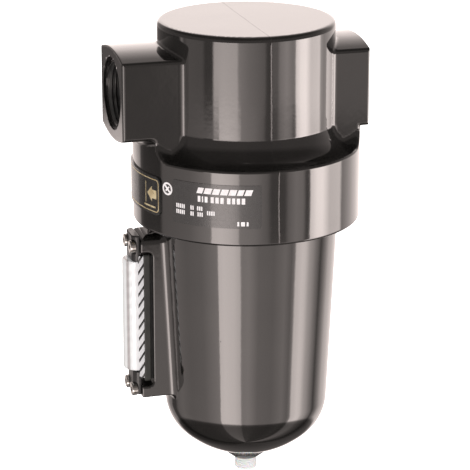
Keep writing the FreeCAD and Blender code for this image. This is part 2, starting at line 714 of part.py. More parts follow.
def make_lens():
    across = ("- lens_half", "lens_half")
    block = box("LensBlock", ("lens_x", "holder_x"), across, ("lens_low_z", "lens_top_z"))
    block = rounded("LensRounds", block, "lens_round", lambda edge: is_long_outer_edge(edge, "lens_x"))
    tongues = box("LensTongues", ("tongue_x", "holder_x"), across, ("tongue_low_z", "tongue_top_z"))
    return fuse("SightLens", block, tongues)


def is_long_outer_edge(edge, face):
    """Upright edges of a block's outer face."""
    ends = [vertex.Point for vertex in edge.Vertexes]
    return all(near(end.x, size(face)) for end in ends) and near(ends[0].y, ends[-1].y)


def make_slotted_strip(name, half, outer_face, inner_face, low, high):
    strip = box(name + "Strip", (outer_face, inner_face), ("- " + half, half), (low, high))
    slot = box(
        name + "Slot",
        (outer_face + " - 1", inner_face + " + 1"),
        ("- window_half", "window_half"),
        ("window_low_z", "window_top_z"),
    )
    return cut(name, strip, slot)


def make_clamp(name, low, high, screw_height):
    block = box(name + "Block", ("clamp_x", "web_out_x"), ("- clamp_half", "clamp_half"), (low, high))
    block = rounded(name + "Rounds", block, "clamp_round", lambda edge: is_long_outer_edge(edge, "clamp_x"))
    holes = []
    for side, offset in (("Front", "- screw_y"), ("Back", "screw_y")):
        through = (name + "Hole" + side, "screw_hole_r", "clamp_x - 1", "web_out_x + 1")
        seat = (name + "Seat" + side, "head_hole_r", "clamp_x - 1", "head_seat_x")
        holes.append(rod_along_x(*through, offset, screw_height))
        holes.append(rod_along_x(*seat, offset, screw_height))
    return cut(name, block, *holes)


def make_clamp_screws():
    """Four button-head screws; each is a separate solid."""
    screws = []
    for end, height in (("Upper", "upper_screw_z"), ("Lower", "lower_screw_z")):
        for side, offset in (("Front", "- screw_y"), ("Back", "screw_y")):
            name = "Screw" + end + side
            shank = rod_along_x(name + "Shank", "screw_r", "head_seat_x - 0.5", "screw_tip_x", offset, height)
            barrel = rod_along_x(
                name + "Head", "screw_head_r", "head_seat_x - 2 * screw_r", "head_seat_x", offset, height
            )
            dome = doc.addObject("Part::Sphere", name + "Dome")
            bind(dome, "Radius", "screw_dome_r")
            bind(dome, "Placement.Base.x", "head_seat_x")
            bind(dome, "Placement.Base.y", offset)
            bind(dome, "Placement.Base.z", height)
            domed = doc.addObject("Part::Common", name + "Button")
            domed.Base = barrel
            domed.Tool = dome
            socket = (name + "Socket", "socket_r", "clamp_x - 2 * screw_r", "head_seat_x - screw_r")
            recess = rod_along_x(*socket, offset, height)
            screws.append(fuse(name, cut(name + "Drilled", domed, recess), shank))
    group = doc.addObject("Part::Compound", "ClampScrews")
    group.Links = screws
    return group


# ---- automatic drain ----


def make_drain_body():
    body = doc.addObject("PartDesign::Body", "DrainBody")
    section = outline(body, "DrainBodySection", "XZ_Plane", [
        ("drain_thread_r", "drain_end_z"),
        ("stub_r", "drain_end_z"),
        ("stub_r", "drain_flange_low_z"),
        ("drain_flange_r", "drain_flange_low_z"),
        ("drain_flange_r", "drain_flange_top_z"),
        ("tower_r", "drain_flange_top_z"),
        ("tower_r", "tower_top_z"),
        ("tower_bore_r", "tower_top_z"),
        ("tower_bore_r", "seat_z"),
        ("seat_r", "seat_z"),
        ("seat_r", "drain_thread_top_z"),
        ("drain_thread_r", "drain_thread_top_z"),
    ])
    revolve(body, "DrainTurned", section)
    window = bore(body, "TowerWindow", "window_r", "tower_r", ("0", "0", "windows_z"), (1, 0, 0))
    around_pattern(body, "TowerWindows", window, TOWER_WINDOWS)
    return body


def make_drain_nut():
    body = doc.addObject("PartDesign::Body", "DrainNut")
    section = outline(body, "DrainNutSection", "XZ_Plane", [
        ("nut_bore_r", "nut_low_z"),
        ("nut_low_r", "nut_low_z"),
        ("nut_top_r", "nut_step_z"),
        ("nut_top_r", "spot_z"),
        ("nut_bore_r", "spot_z"),
    ])
    revolve(body, "DrainNutBlank", section)
    serration = bore(
        body, "NutSerration", "nut_groove_r", "spot_z - nut_low_z", ("nut_cut_r", "0", "nut_low_z"), (0, 0, 1)
    )
    around_pattern(body, "NutSerrations", serration, NUT_SERRATIONS)
    return body


def make_strainer():
    body = doc.addObject("PartDesign::Body", "Strainer")
    section = outline(body, "StrainerSection", "XZ_Plane", [
        ("strainer_in_r", "drain_flange_top_z"),
        ("strainer_out_r", "drain_flange_top_z"),
        ("strainer_out_r", "strainer_top_z"),
        ("strainer_in_r", "strainer_top_z"),
    ])
    revolve(body, "StrainerRing", section)
    middle = ("0", "0", "windows_z")
    hole = bore(body, "StrainerHole", "strainer_hole_r", "strainer_out_r + 1", middle, (1, 0, 0))
    around_pattern(body, "StrainerHoles", hole, STRAINER_HOLES)
    return body


def make_drain_cap():
    lid = cylinder("DrainCapLid", "tower_r", "tower_top_z", "cap_top_z")
    spigot = cylinder("DrainCapSpigot", "cap_spigot_r", "cap_lip_z", "tower_top_z")
    nozzle = cylinder("PilotNozzle", "nozzle_r", "cap_lip_z - 1", "cap_top_z + 1")
    return cut("DrainCap", fuse("DrainCapBlank", lid, spigot), nozzle)


def make_float():
    shell = ring("FloatShell", "float_in_r", "float_out_r", "float_low_z", "float_top_z")
    yoke = box(
        "FloatYoke",
        ("- yoke_half_len", "yoke_half_len"),
        ("- yoke_half", "yoke_half"),
        ("yoke_low_z", "yoke_top_z"),
    )
    legs = [
        box("FloatLegLeft", ("- yoke_half_len", "- float_in_r"), ("- yoke_half", "yoke_half"),
            ("float_top_z", "yoke_low_z")),
        box("FloatLegRight", ("float_in_r", "yoke_half_len"), ("- yoke_half", "yoke_half"),
            ("float_top_z", "yoke_low_z")),
    ]
    pin_hole = cylinder("FloatPinHole", "pin_r", "yoke_low_z", "pin_top_z")
    return cut("Float", fuse("FloatBlank", shell, yoke, *legs), pin_hole)


def make_piston():
    body = doc.addObject("PartDesign::Body", "DrainPiston")
    section = outline(body, "DrainPistonSection", "XZ_Plane", [
        (0, "plug_low_z"),
        ("plug_r", "plug_low_z"),
        ("plug_r", "plug_top_z"),
        ("stem_r", "plug_top_z"),
        ("stem_r", "piston_low_z"),
        ("piston_r", "piston_low_z"),
        ("piston_r", "piston_groove_low_z"),
        ("piston_groove_r", "piston_groove_low_z"),
        ("piston_groove_r", "piston_groove_top_z"),
        ("piston_r", "piston_groove_top_z"),
        ("piston_r", "piston_top_z"),
        (0, "piston_top_z"),
    ])
    revolve(body, "DrainPistonTurned", section)
    return body


def make_spring():
    """Eight-sided wire swept along a helix."""
    rise = size("spring_high_z") - size("spring_low_z") - 2 * size("spring_wire_r")
    path = Part.makeLongHelix(rise / size("spring_turns"), rise, size("spring_r"))
    corners = []
    for index in range(WIRE_SIDES + 1):
        angle = math.tau * index / WIRE_SIDES
        across = size("spring_r") + size("spring_wire_r") * math.cos(angle)
        corners.append(FreeCAD.Vector(across, 0, size("spring_wire_r") * math.sin(angle)))
    coil = Part.Wire(path.Edges).makePipeShell([Part.makePolygon(corners)], True, True)
    spring = doc.addObject("Part::Feature", "ValveSpring")
    spring.Shape = coil
    spring.Placement.Base.z = size("spring_low_z") + size("spring_wire_r")
    return spring


keep(make_head(), "head")
keep(make_plate("Label", "label_r", "label_low_z", "label_high_z", "label_arc", "label_turn"), "rating_label")
keep(make_plate("Badge", "badge_r", "badge_low_z", "badge_high_z", "badge_arc", "badge_turn"), "flow_badge")
keep(make_louvre(), "louvre")
keep(cylinder("TieRod", "rod_r", "rod_low_z", "rod_top_z"), "tie_rod")
for node, name, low, high in (
    ("upper_element_gasket", "UpperSeal", "element_top_z", "upper_seal_top_z"),
    ("filter_element", "Element", "element_low_z", "element_top_z"),
    ("lower_element_gasket", "LowerSeal", "lower_seal_low_z", "element_low_z"),
):
    keep(ring(name, "element_bore_r", "element_r", low, high), node)
keep(make_baffle(), "baffle")
keep(torus("BowlSeal", "bowl_seal_r", "bowl_seal_tube", "bowl_seal_z"), "bowl_o_ring")
keep(make_bowl(), "bowl")
keep(
    make_slotted_strip("LensGasket", "gasket_half", "gasket_x", "recess_x", "gasket_low_z", "gasket_top_z"),
    "lens_gasket",
)
keep(
    make_slotted_strip("LensHolder", "holder_half", "holder_x", "gasket_x", "holder_low_z", "holder_top_z"),
    "lens_holder",
)
keep(make_lens(), "sight_lens")
keep(make_clamp("UpperClamp", "upper_clamp_low_z", "upper_clamp_top_z", "upper_screw_z"), "upper_clamp")
keep(make_clamp("LowerClamp", "lower_clamp_low_z", "lower_clamp_top_z", "lower_screw_z"), "lower_clamp")
keep(make_clamp_screws(), "clamp_screws")
keep(make_drain_body(), "drain_body")
keep(
    torus("DrainSeal", "drain_seal_r", "drain_seal_tube", "drain_flange_low_z - drain_seal_tube"),
    "drain_o_ring",
)
keep(make_drain_nut(), "drain_nut")
keep(make_strainer(), "drain_strainer")
keep(make_drain_cap(), "drain_cap")
keep(make_float(), "float")
keep(cylinder("PilotPin", "pin_r", "pin_low_z", "pin_top_z"), "pilot_pin")
keep(make_piston(), "drain_piston")
keep(torus("PistonSeal", "piston_seal_r", "piston_seal_tube", "piston_seal_z"), "piston_seal")
keep(make_spring(), "valve_spring")

doc.recompute()

for item in doc.Objects:
    if "Invalid" in item.State or "Error" in item.State:
        raise RuntimeError("%s failed: %s" % (item.Name, item.State))
for item in sub_parts:
    if item.Shape.isNull() or not item.Shape.isValid():
        raise RuntimeError(item.Label + " has no valid shape")

os.makedirs("parts", exist_ok=True)
for item in sub_parts:
    item.Shape.exportStep("parts/%s.step" % item.Label)
    print("%-22s solids %d  volume %.0f" % (item.Label, len(item.Shape.Solids), item.Shape.Volume))
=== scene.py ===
"""Looks of the compressed air filter: enamelled castings, sight glass, plates and drain on the CAD frame."""

import math

import bpy
import numpy as np
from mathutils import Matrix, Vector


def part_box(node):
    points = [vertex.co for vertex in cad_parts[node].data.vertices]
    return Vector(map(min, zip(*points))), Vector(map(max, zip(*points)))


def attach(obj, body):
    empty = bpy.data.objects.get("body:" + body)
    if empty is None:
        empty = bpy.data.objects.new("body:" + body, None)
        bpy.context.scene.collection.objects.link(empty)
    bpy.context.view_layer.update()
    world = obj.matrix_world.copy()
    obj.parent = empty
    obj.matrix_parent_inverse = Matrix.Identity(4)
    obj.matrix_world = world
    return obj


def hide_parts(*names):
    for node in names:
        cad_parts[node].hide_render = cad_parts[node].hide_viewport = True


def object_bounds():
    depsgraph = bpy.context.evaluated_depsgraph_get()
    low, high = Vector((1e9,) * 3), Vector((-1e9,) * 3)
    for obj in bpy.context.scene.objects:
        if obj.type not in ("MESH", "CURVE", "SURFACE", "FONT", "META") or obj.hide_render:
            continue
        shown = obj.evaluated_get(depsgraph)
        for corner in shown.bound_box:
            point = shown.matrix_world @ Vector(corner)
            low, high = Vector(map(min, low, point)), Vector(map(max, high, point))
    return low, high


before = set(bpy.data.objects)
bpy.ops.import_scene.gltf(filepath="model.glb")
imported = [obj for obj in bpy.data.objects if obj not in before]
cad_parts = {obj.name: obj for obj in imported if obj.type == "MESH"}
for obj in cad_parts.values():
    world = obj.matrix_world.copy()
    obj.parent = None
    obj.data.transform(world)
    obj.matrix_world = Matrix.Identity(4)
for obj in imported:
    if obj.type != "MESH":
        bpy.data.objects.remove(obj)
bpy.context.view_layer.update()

MM = 0.001
FULL_TURN = 2 * math.pi
rng = np.random.default_rng(17)


# ---- places, from the frame, in millimetres about the bowl axis with the port axis at zero height ----


def axis_of(node):
    low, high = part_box(node)
    return (low.x + high.x) / 2


AXIS_X = axis_of("bowl_o_ring")


def span(node):
    """Lowest and highest corners of a CAD node."""
    return [np.array([corner.x - AXIS_X, corner.y, corner.z]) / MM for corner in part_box(node)]


HEAD_LOW, HEAD_HIGH = span("head")
BOWL_LOW, BOWL_HIGH = span("bowl")
LABEL_LOW, LABEL_HIGH = span("rating_label")
BADGE_LOW, BADGE_HIGH = span("flow_badge")
LENS_LOW, LENS_HIGH = span("sight_lens")
HOLDER_LOW, HOLDER_HIGH = span("lens_holder")
GASKET_HIGH = span("lens_gasket")[1]
SCREWS_LOW, SCREWS_HIGH = span("clamp_screws")
NUT_LOW, NUT_HIGH = span("drain_nut")
DRAIN_LOW, DRAIN_HIGH = span("drain_body")

INLET_X, OUTLET_X = HEAD_LOW[0], HEAD_HIGH[0]
FLASH = 0.1
HEAD_TOP, COLLAR_FOOT = HEAD_HIGH[2] - FLASH, HEAD_LOW[2]
COLLAR_R = HEAD_HIGH[1] - FLASH
FLANGE_R = BOWL_HIGH[1]
RIM_Z = BOWL_HIGH[2]
WEB_X = BOWL_LOW[0]


# ---- shapes as signed distances: negative inside, millimetres ----


def slab(value, low, high):
    return np.abs(value - (low + high) / 2) - (high - low) / 2


def both(a, b, radius=0.0):
    """Where a and b overlap, with a rounded outer edge."""
    reach = np.hypot(np.maximum(radius + a, 0), np.maximum(radius + b, 0))
    return np.minimum(-radius, np.maximum(a, b)) + reach


def either(a, b, radius=0.0):
    """Union of a and b, with a filleted inner corner."""
    reach = np.hypot(np.maximum(radius - a, 0), np.maximum(radius - b, 0))
    return np.maximum(radius, np.minimum(a, b)) - reach


def minus(a, b, radius=0.0):
    return both(a, -b, radius)


FLANK_SLOPE = 2.5


def tooth(phase):
    """Height of a V thread, from 0 at the root to 1 at the crest, once for every whole phase."""
    share = phase - np.floor(phase)
    return np.clip(FLANK_SLOPE / 2 - np.abs(FLANK_SLOPE * share - FLANK_SLOPE / 2), 0, 1)


# ---- dual contouring: a mesh with true creases from a signed distance ----

PROBE = 0.01
BISECTIONS = 12
PULL = 0.05
PULL_ROUNDS = 3
CREASE = math.cos(math.radians(20))
NEARBY = 0.3


def ruler(start, *runs):
    """Grid lines from start through runs of (end, pitch)."""
    marks = [start]
    for end, pitch in runs:
        count = max(1, math.ceil((end - marks[-1]) / pitch))
        marks.extend(np.linspace(marks[-1], end, count + 1)[1:])
    return np.array(marks)


def slope(field, points):
    """Unit gradient of a field."""
    sides = []
    for axis in range(3):
        shift = np.zeros(3)
        shift[axis] = PROBE
        sides.append(field(*(points + shift).T) - field(*(points - shift).T))
    steep = np.stack(sides, 1)
    return steep / np.maximum(np.linalg.norm(steep, axis=1, keepdims=True), 1e-12)


def crossings(field, lines, values, axis):
    """Points where grid edges along an axis pierce the surface, and the four cells round each edge."""
    low, high = [slice(None)] * 3, [slice(None)] * 3
    low[axis], high[axis] = slice(None, -1), slice(1, None)
    starts_inside = values[tuple(low)] < 0
    pierced = starts_inside != (values[tuple(high)] < 0)
    index = np.argwhere(pierced)
    inside = starts_inside[pierced]
    step = np.zeros(3, int)
    step[axis] = 1
    near = np.stack([lines[k][index[:, k]] for k in range(3)], 1)
    far = np.stack([lines[k][(index + step)[:, k]] for k in range(3)], 1)
    for _ in range(BISECTIONS):
        middle = (near + far) / 2
        same = ((field(*middle.T) < 0) == inside)[:, None]
        near, far = np.where(same, middle, near), np.where(same, far, middle)
    b, c = (axis + 1) % 3, (axis + 2) % 3
    cells = np.repeat(index[:, None, :], 4, 1)
    for corner, (db, dc) in enumerate(((-1, -1), (0, -1), (0, 0), (-1, 0))):
        cells[:, corner, b] += db
        cells[:, corner, c] += dc
    cells[~inside] = cells[~inside][:, ::-1]
    return (near + far) / 2, cells


def dual_contour(field, xs, ys, zs):
    """Vertices, quads and a normal for every quad corner, on the zero surface of a field."""
    lines = (xs, ys, zs)
    counts = [len(line) for line in lines]
    values = field(*np.meshgrid(*lines, indexing="ij"))
    found = [crossings(field, lines, values, axis) for axis in range(3)]
    pierce = np.concatenate([points for points, _ in found])
    cells = np.concatenate([cells for _, cells in found])
    flat = np.ravel_multi_index(tuple(cells.reshape(-1, 3).T), counts)
    used, quads = np.unique(flat, return_inverse=True)
    quads = quads.reshape(-1, 4)
    normal = slope(field, pierce)

    def total(weight):
        return np.bincount(quads.ravel(), np.repeat(weight, 4), len(used))

    share = total(np.ones(len(pierce)))
    vertex = np.stack([total(pierce[:, k]) for k in range(3)], 1) / share[:, None]
    matrix = np.empty((len(used), 3, 3))
    for row in range(3):
        for column in range(3):
            matrix[:, row, column] = total(normal[:, row] * normal[:, column])
    along = (normal * pierce).sum(1)
    target = np.stack([total(normal[:, k] * along) for k in range(3)], 1)
    for _ in range(PULL_ROUNDS):
        vertex = np.linalg.solve(matrix + PULL * np.eye(3), (target + PULL * vertex)[:, :, None])[:, :, 0]
    corner = np.stack(np.unravel_index(used, counts), 1)
    for k in range(3):
        vertex[:, k] = np.clip(vertex[:, k], lines[k][corner[:, k]], lines[k][corner[:, k] + 1])
    base = slope(field, vertex)
    vertex = vertex - field(*vertex.T)[:, None] * base
    return vertex, quads, corner_normals(field, vertex, quads)


def corner_normals(field, vertex, quads):
    """The vertex normal, or on a crease the normal a little way into the quad."""
    base = slope(field, vertex)[quads]
    place = vertex[quads]
    centre = place.mean(1, keepdims=True)
    probe = place + NEARBY * (centre - place)
    nearby = slope(field, probe.reshape(-1, 3)).reshape(probe.shape)
    creased = (base * nearby).sum(2, keepdims=True) < CREASE
    return np.where(creased, nearby, base)


# ---- pieces ----


def to_row(points):
    """Millimetres about the bowl axis to metres in the row frame."""
    return np.asarray(points, float) * MM + np.array([AXIS_X, 0, 0])


def make_piece(name, mesh, body, material, replaced=()):
    piece = bpy.data.objects.new(name, mesh)
    bpy.context.scene.collection.objects.link(piece)
    mesh.materials.append(material)
    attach(piece, body)
    if replaced:
        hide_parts(*replaced)
    return piece


def quad_mesh(name, vertex, quads):
    mesh = bpy.data.meshes.new(name)
    mesh.vertices.add(len(vertex))
    mesh.vertices.foreach_set("co", to_row(vertex).ravel())
    mesh.loops.add(quads.size)
    mesh.loops.foreach_set("vertex_index", quads.ravel().astype(np.int32))
    mesh.polygons.add(len(quads))
    mesh.polygons.foreach_set("loop_start", np.arange(0, quads.size, 4, dtype=np.int32))
    mesh.update(calc_edges=True)
    mesh.polygons.foreach_set("use_smooth", np.ones(len(quads), bool))
    return mesh


def cast(name, field, lines, body, material, replaced=()):
    """A piece whose shape is a signed distance."""
    vertex, quads, normals = dual_contour(field, *lines)
    mesh = quad_mesh(name, vertex, quads)
    mesh.normals_split_custom_set(normals.reshape(-1, 3))
    return make_piece(name, mesh, body, material, replaced)


# ---- materials ----


class Tree:
    """Adds nodes to a node tree and joins them."""

    def __init__(self, tree):
        self.tree = tree

    def add(self, kind, **settings):
        node = self.tree.nodes.new(kind)
        for key, value in settings.items():
            setattr(node, key, value)
        return node

    def join(self, output, socket):
        self.tree.links.new(output, socket)

    def feed(self, sockets, values):
        """Sets each socket to a number, or joins it to an output."""
        for socket, value in zip(sockets, values):
            if isinstance(value, (int, float)):
                socket.default_value = value
            else:
                self.join(value, socket)

    def ramp(self, value, *stops):
        """Colours or levels along a value; a stop is (position, level or colour)."""
        node = self.add("ShaderNodeValToRGB")
        elements = node.color_ramp.elements
        while len(elements) < len(stops):
            elements.new(1.0)
        for element, (at, colour) in zip(elements, stops):
            element.position = at
            element.color = (*colour, 1) if isinstance(colour, tuple) else (colour, colour, colour, 1)
        self.join(value, node.inputs[0])
        return node.outputs[0]

    def math(self, operation, a, b=0.0):
        node = self.add("ShaderNodeMath", operation=operation)
        self.feed(node.inputs, (a, b))
        return node.outputs[0]

    def blend(self, factor, low, high):
        """Number that goes from low to high with factor."""
        node = self.add("ShaderNodeMix", data_type="FLOAT")
        self.feed((node.inputs[0], node.inputs[2], node.inputs[3]), (factor, low, high))
        return node.outputs[0]

    def mixed(self, factor, first, second, mode="MIX"):
        """Two colour outputs, mixed by a number or an output."""
        node = self.add("ShaderNodeMix", data_type="RGBA", blend_type=mode)
        self.feed((node.inputs["Factor"], node.inputs[6], node.inputs[7]), (factor, first, second))
        return node.outputs[2]


class Nodes(Tree):
    """Builds one procedural material; coordinates are the row frame in millimetres."""

    def __init__(self, name, **sockets):
        self.material = bpy.data.materials.new(name)
        self.material.use_nodes = True
        super().__init__(self.material.node_tree)
        self.shader = self.tree.nodes["Principled BSDF"]
        self.place = self.add("ShaderNodeVectorMath", operation="SCALE")
        self.join(self.add("ShaderNodeTexCoord").outputs["Object"], self.place.inputs[0])
        self.place.inputs["Scale"].default_value = 1 / MM
        for socket, value in sockets.items():
            self.shader.inputs[socket.replace("_", " ")].default_value = value

    def stretched(self, x, y, z):
        """Coordinates scaled by a factor along each axis."""
        node = self.add("ShaderNodeVectorMath", operation="MULTIPLY")
        self.join(self.place.outputs[0], node.inputs[0])
        node.inputs[1].default_value = (x, y, z)
        return node.outputs[0]

    def noise(self, size, detail=3.0, rough=0.55, where=None):
        """Noise whose features are about size millimetres wide."""
        node = self.add("ShaderNodeTexNoise")
        node.inputs["Scale"].default_value = 1 / size
        node.inputs["Detail"].default_value = detail
        node.inputs["Roughness"].default_value = rough
        self.join(where or self.place.outputs[0], node.inputs["Vector"])
        return node.outputs[0]

    def cells(self, size, feature="F1"):
        node = self.add("ShaderNodeTexVoronoi", feature=feature)
        node.inputs["Scale"].default_value = 1 / size
        self.join(self.place.outputs[0], node.inputs["Vector"])
        return node.outputs["Distance"]

    def bump(self, *layers):
        """Bump from (height output, depth in millimetres) layers."""
        below = None
        for height, depth in layers:
            node = self.add("ShaderNodeBump")
            node.inputs["Strength"].default_value = 1.0
            node.inputs["Distance"].default_value = depth * MM
            self.join(height, node.inputs["Height"])
            if below:
                self.join(below, node.inputs["Normal"])
            below = node.outputs[0]
        self.join(below, self.shader.inputs["Normal"])
        return below

    def paint(self, colour, roughness=None):
        self.join(colour, self.shader.inputs["Base Color"])
        if roughness:
            self.join(roughness, self.shader.inputs["Roughness"])
        return self.material


def plain_finish(name, dark, light, grain, roughness, relief, **sockets):
    """Cloudy two-tone colour, uneven gloss and a fine surface relief."""
    nodes = Nodes(name, **sockets)
    colour = nodes.ramp(nodes.noise(grain * 6), (0.3, dark), (0.7, light))
    gloss = nodes.ramp(nodes.noise(grain * 3), (0.25, roughness[0]), (0.75, roughness[1]))
    nodes.bump((nodes.noise(grain), relief))
    return nodes.paint(colour, gloss)


def enamel():
    """Thick black gloss enamel on cast metal: orange peel, a few pits, dust and fine scratches."""
    nodes = Nodes("black_enamel", Specular_IOR_Level=0.5, Coat_Weight=1.0, Coat_Roughness=0.015, Coat_IOR=1.5)
    pits = nodes.ramp(nodes.cells(7.0), (0.0, 1.0), (0.028, 1.0), (0.04, 0.0))
    seldom = nodes.ramp(nodes.noise(11.0, detail=0.0), (0.6, 0.0), (0.62, 1.0))
    pits = nodes.math("MULTIPLY", pits, seldom)
    scratch = nodes.noise(1.0, detail=0.0, where=nodes.stretched(0.02, 0.9, 0.35))
    scratch = nodes.ramp(scratch, (0.5, 0.0), (0.502, 1.0), (0.504, 0.0))
    patch = nodes.ramp(nodes.noise(16.0, detail=1.0), (0.56, 0.0), (0.66, 1.0))
    scratch = nodes.math("MULTIPLY", scratch, patch)
    tone = nodes.ramp(nodes.noise(25.0), (0.3, (0.006, 0.0055, 0.005)), (0.7, (0.010, 0.009, 0.008)))
    worn = nodes.ramp(scratch, (0.0, 0.0), (1.0, (0.035, 0.033, 0.031)))
    colour = nodes.mixed(1.0, tone, worn, "ADD")
    gloss = nodes.ramp(nodes.noise(30.0), (0.3, 0.05), (0.7, 0.10))
    peel = nodes.noise(5.5, detail=1.0)
    waves = nodes.noise(26.0, detail=0.0)
    ripple = nodes.noise(1.7, detail=1.0)
    relief = nodes.bump((peel, 0.010), (ripple, 0.0045), (waves, 0.07), (pits, -0.06), (scratch, -0.004))
    nodes.join(relief, nodes.shader.inputs["Coat Normal"])
    return nodes.paint(colour, gloss)


ENAMEL = enamel()


# ---- head casting ----

NECK_R = 47.9
TOP_ROUND = 2.3
COVE_R = 13.0
COLLAR_TOP = -31.8
SHOULDER_EDGE = 0.8
COLLAR_EDGE = 1.4
LUG_HALF = 24.4
LUG_SIDE_Z = 20.9
ARCH_R = 82.0
LUG_EDGE = 1.3
LUG_RIM = 0.6
LUG_FILLET = 1.4
UNDER_INLET, UNDER_OUTLET = 3.0, 0.5
FOOT_FILLET, FOOT_SINK = 8.5, 8
FOOT_SPREAD, FILLET_FADE = 10, 4
PORT_FACE_R = 19.4
SPOT_DEPTH = 2.0
THREAD_ROOT_R = 16.6
THREAD_BORE_R = 15.15
THREAD_LENGTH = 18.0
THREAD_PITCH = 2.309
LEAD_IN, RUN_OUT = 1.0, 3.0
PASSAGE_R, PASSAGE_ROUND = 13.5, 1.5
WELL_X, WELL_R = -31.0, 11.0
PAST_WELL = 0.6
BORE_R = 54.0
LEDGE_Z = -44.7
CHAMBER_R, CHAMBER_ROOF, CHAMBER_ROUND = 44.0, -22.0, 2.0
BOSS_R, BOSS_FOOT, BOSS_ROUND = 18.0, -36.0, 1.0
OUTLET_BORE_R = 12.0
BRIDGE_HALF, BRIDGE_TOP = 4.0, -27.0
ROD_HOLE_R = 3.02


def port(x, y, z, face, inward, passage):
    """Spot face, thread room and cast passage of one port, as a space."""
    depth = (x - face) * inward
    radial = np.hypot(y, z)
    thread_end = SPOT_DEPTH + THREAD_LENGTH
    spot = both(radial - PORT_FACE_R, depth - SPOT_DEPTH)
    lead = both(radial - (THREAD_ROOT_R + LEAD_IN) + (depth - SPOT_DEPTH), depth - SPOT_DEPTH - LEAD_IN)
    thread = both(radial - THREAD_ROOT_R, depth - thread_end)
    cone = radial - PASSAGE_R - np.maximum(thread_end + RUN_OUT - depth, 0)
    taper = both(both(cone, depth - thread_end - RUN_OUT), radial - THREAD_ROOT_R)
    cast_way = both(radial - PASSAGE_R, depth - passage, PASSAGE_ROUND)
    return either(either(spot, lead), either(either(thread, taper), cast_way))


def head_shape(x, y, z):
    """Neck, cove and collar turned about the axis, a lug at each side, and the air ways inside."""
    rho = np.hypot(x, y)
    neck = both(rho - NECK_R, z - HEAD_TOP, TOP_ROUND)
    collar = both(rho - COLLAR_R, z - COLLAR_TOP, SHOULDER_EDGE)
    turned = both(either(neck, collar, COVE_R), COLLAR_FOOT - z, COLLAR_EDGE)
    arch_drop = math.sqrt(ARCH_R ** 2 - LUG_HALF ** 2) - LUG_SIDE_Z
    arch = np.hypot(y, np.abs(z) + arch_drop) - ARCH_R
    lug = both(arch, slab(x, INLET_X, OUTLET_X), LUG_RIM)
    pillar = both(rho - COLLAR_R, slab(z, COLLAR_TOP - FOOT_SINK, 0))
    under_lug = np.where(x < 0, UNDER_INLET, UNDER_OUTLET)
    ports = both(either(lug, pillar, under_lug), np.abs(y) - LUG_HALF, LUG_EDGE)
    fillet = LUG_FILLET * np.clip((COLLAR_R - rho) / FILLET_FADE, 0, 1)
    outward = np.clip((rho - NECK_R - 2) / FOOT_SPREAD, 0, 1)
    foot = either(z - COLLAR_TOP, np.abs(y) - LUG_HALF, LUG_FILLET + (FOOT_FILLET - LUG_FILLET) * outward)
    foot = both(foot, rho - COLLAR_R, SHOULDER_EDGE)
    foot = both(foot, slab(z, COLLAR_TOP - FOOT_SINK, COLLAR_TOP + FOOT_FILLET))
    solid = np.minimum(either(turned, ports, fillet), foot)
    solid = both(solid, slab(x, INLET_X, OUTLET_X))
    solid = minus(solid, port(x, y, z, INLET_X, 1, WELL_X - INLET_X + PAST_WELL * WELL_R))
    solid = minus(solid, port(x, y, z, OUTLET_X, -1, OUTLET_X))
    solid = minus(solid, both(np.hypot(x - WELL_X, y) - WELL_R, slab(z, CHAMBER_ROOF - 1, 0)))
    solid = minus(solid, both(rho - OUTLET_BORE_R, slab(z, BOSS_FOOT - 1, 0)))
    chamber = both(rho - CHAMBER_R, z - CHAMBER_ROOF, CHAMBER_ROUND)
    chamber = minus(chamber, both(rho - BOSS_R, BOSS_FOOT - z), BOSS_ROUND)
    solid = minus(solid, chamber)
    solid = minus(solid, both(rho - BORE_R, z - LEDGE_Z))
    bridge = both(both(np.abs(y) - BRIDGE_HALF, rho - OUTLET_BORE_R - 0.5), slab(z, BOSS_FOOT, BRIDGE_TOP))
    return either(solid, minus(bridge, rho - ROD_HOLE_R))


HEAD_LINES = (
    ruler(-75.53, (-70.91, 0.6), (-50.13, 1.2), (57.83, 1.3), (63.17, 0.6)),
    ruler(-62.93, (-25.61, 1.3), (-19.93, 0.6), (19.87, 1.1), (25.53, 0.6), (62.97, 1.3)),
    ruler(-74.03, (-69.47, 0.6), (-37.11, 2.0), (-29.93, 0.6), (-25.17, 1.0), (-16.91, 0.7),
          (17.07, 1.2), (25.31, 0.7), (29.13, 1.2), (36.83, 0.7)),
)
cast("head_casting", head_shape, HEAD_LINES, "head", ENAMEL, ["head"])


LINING = 0.15


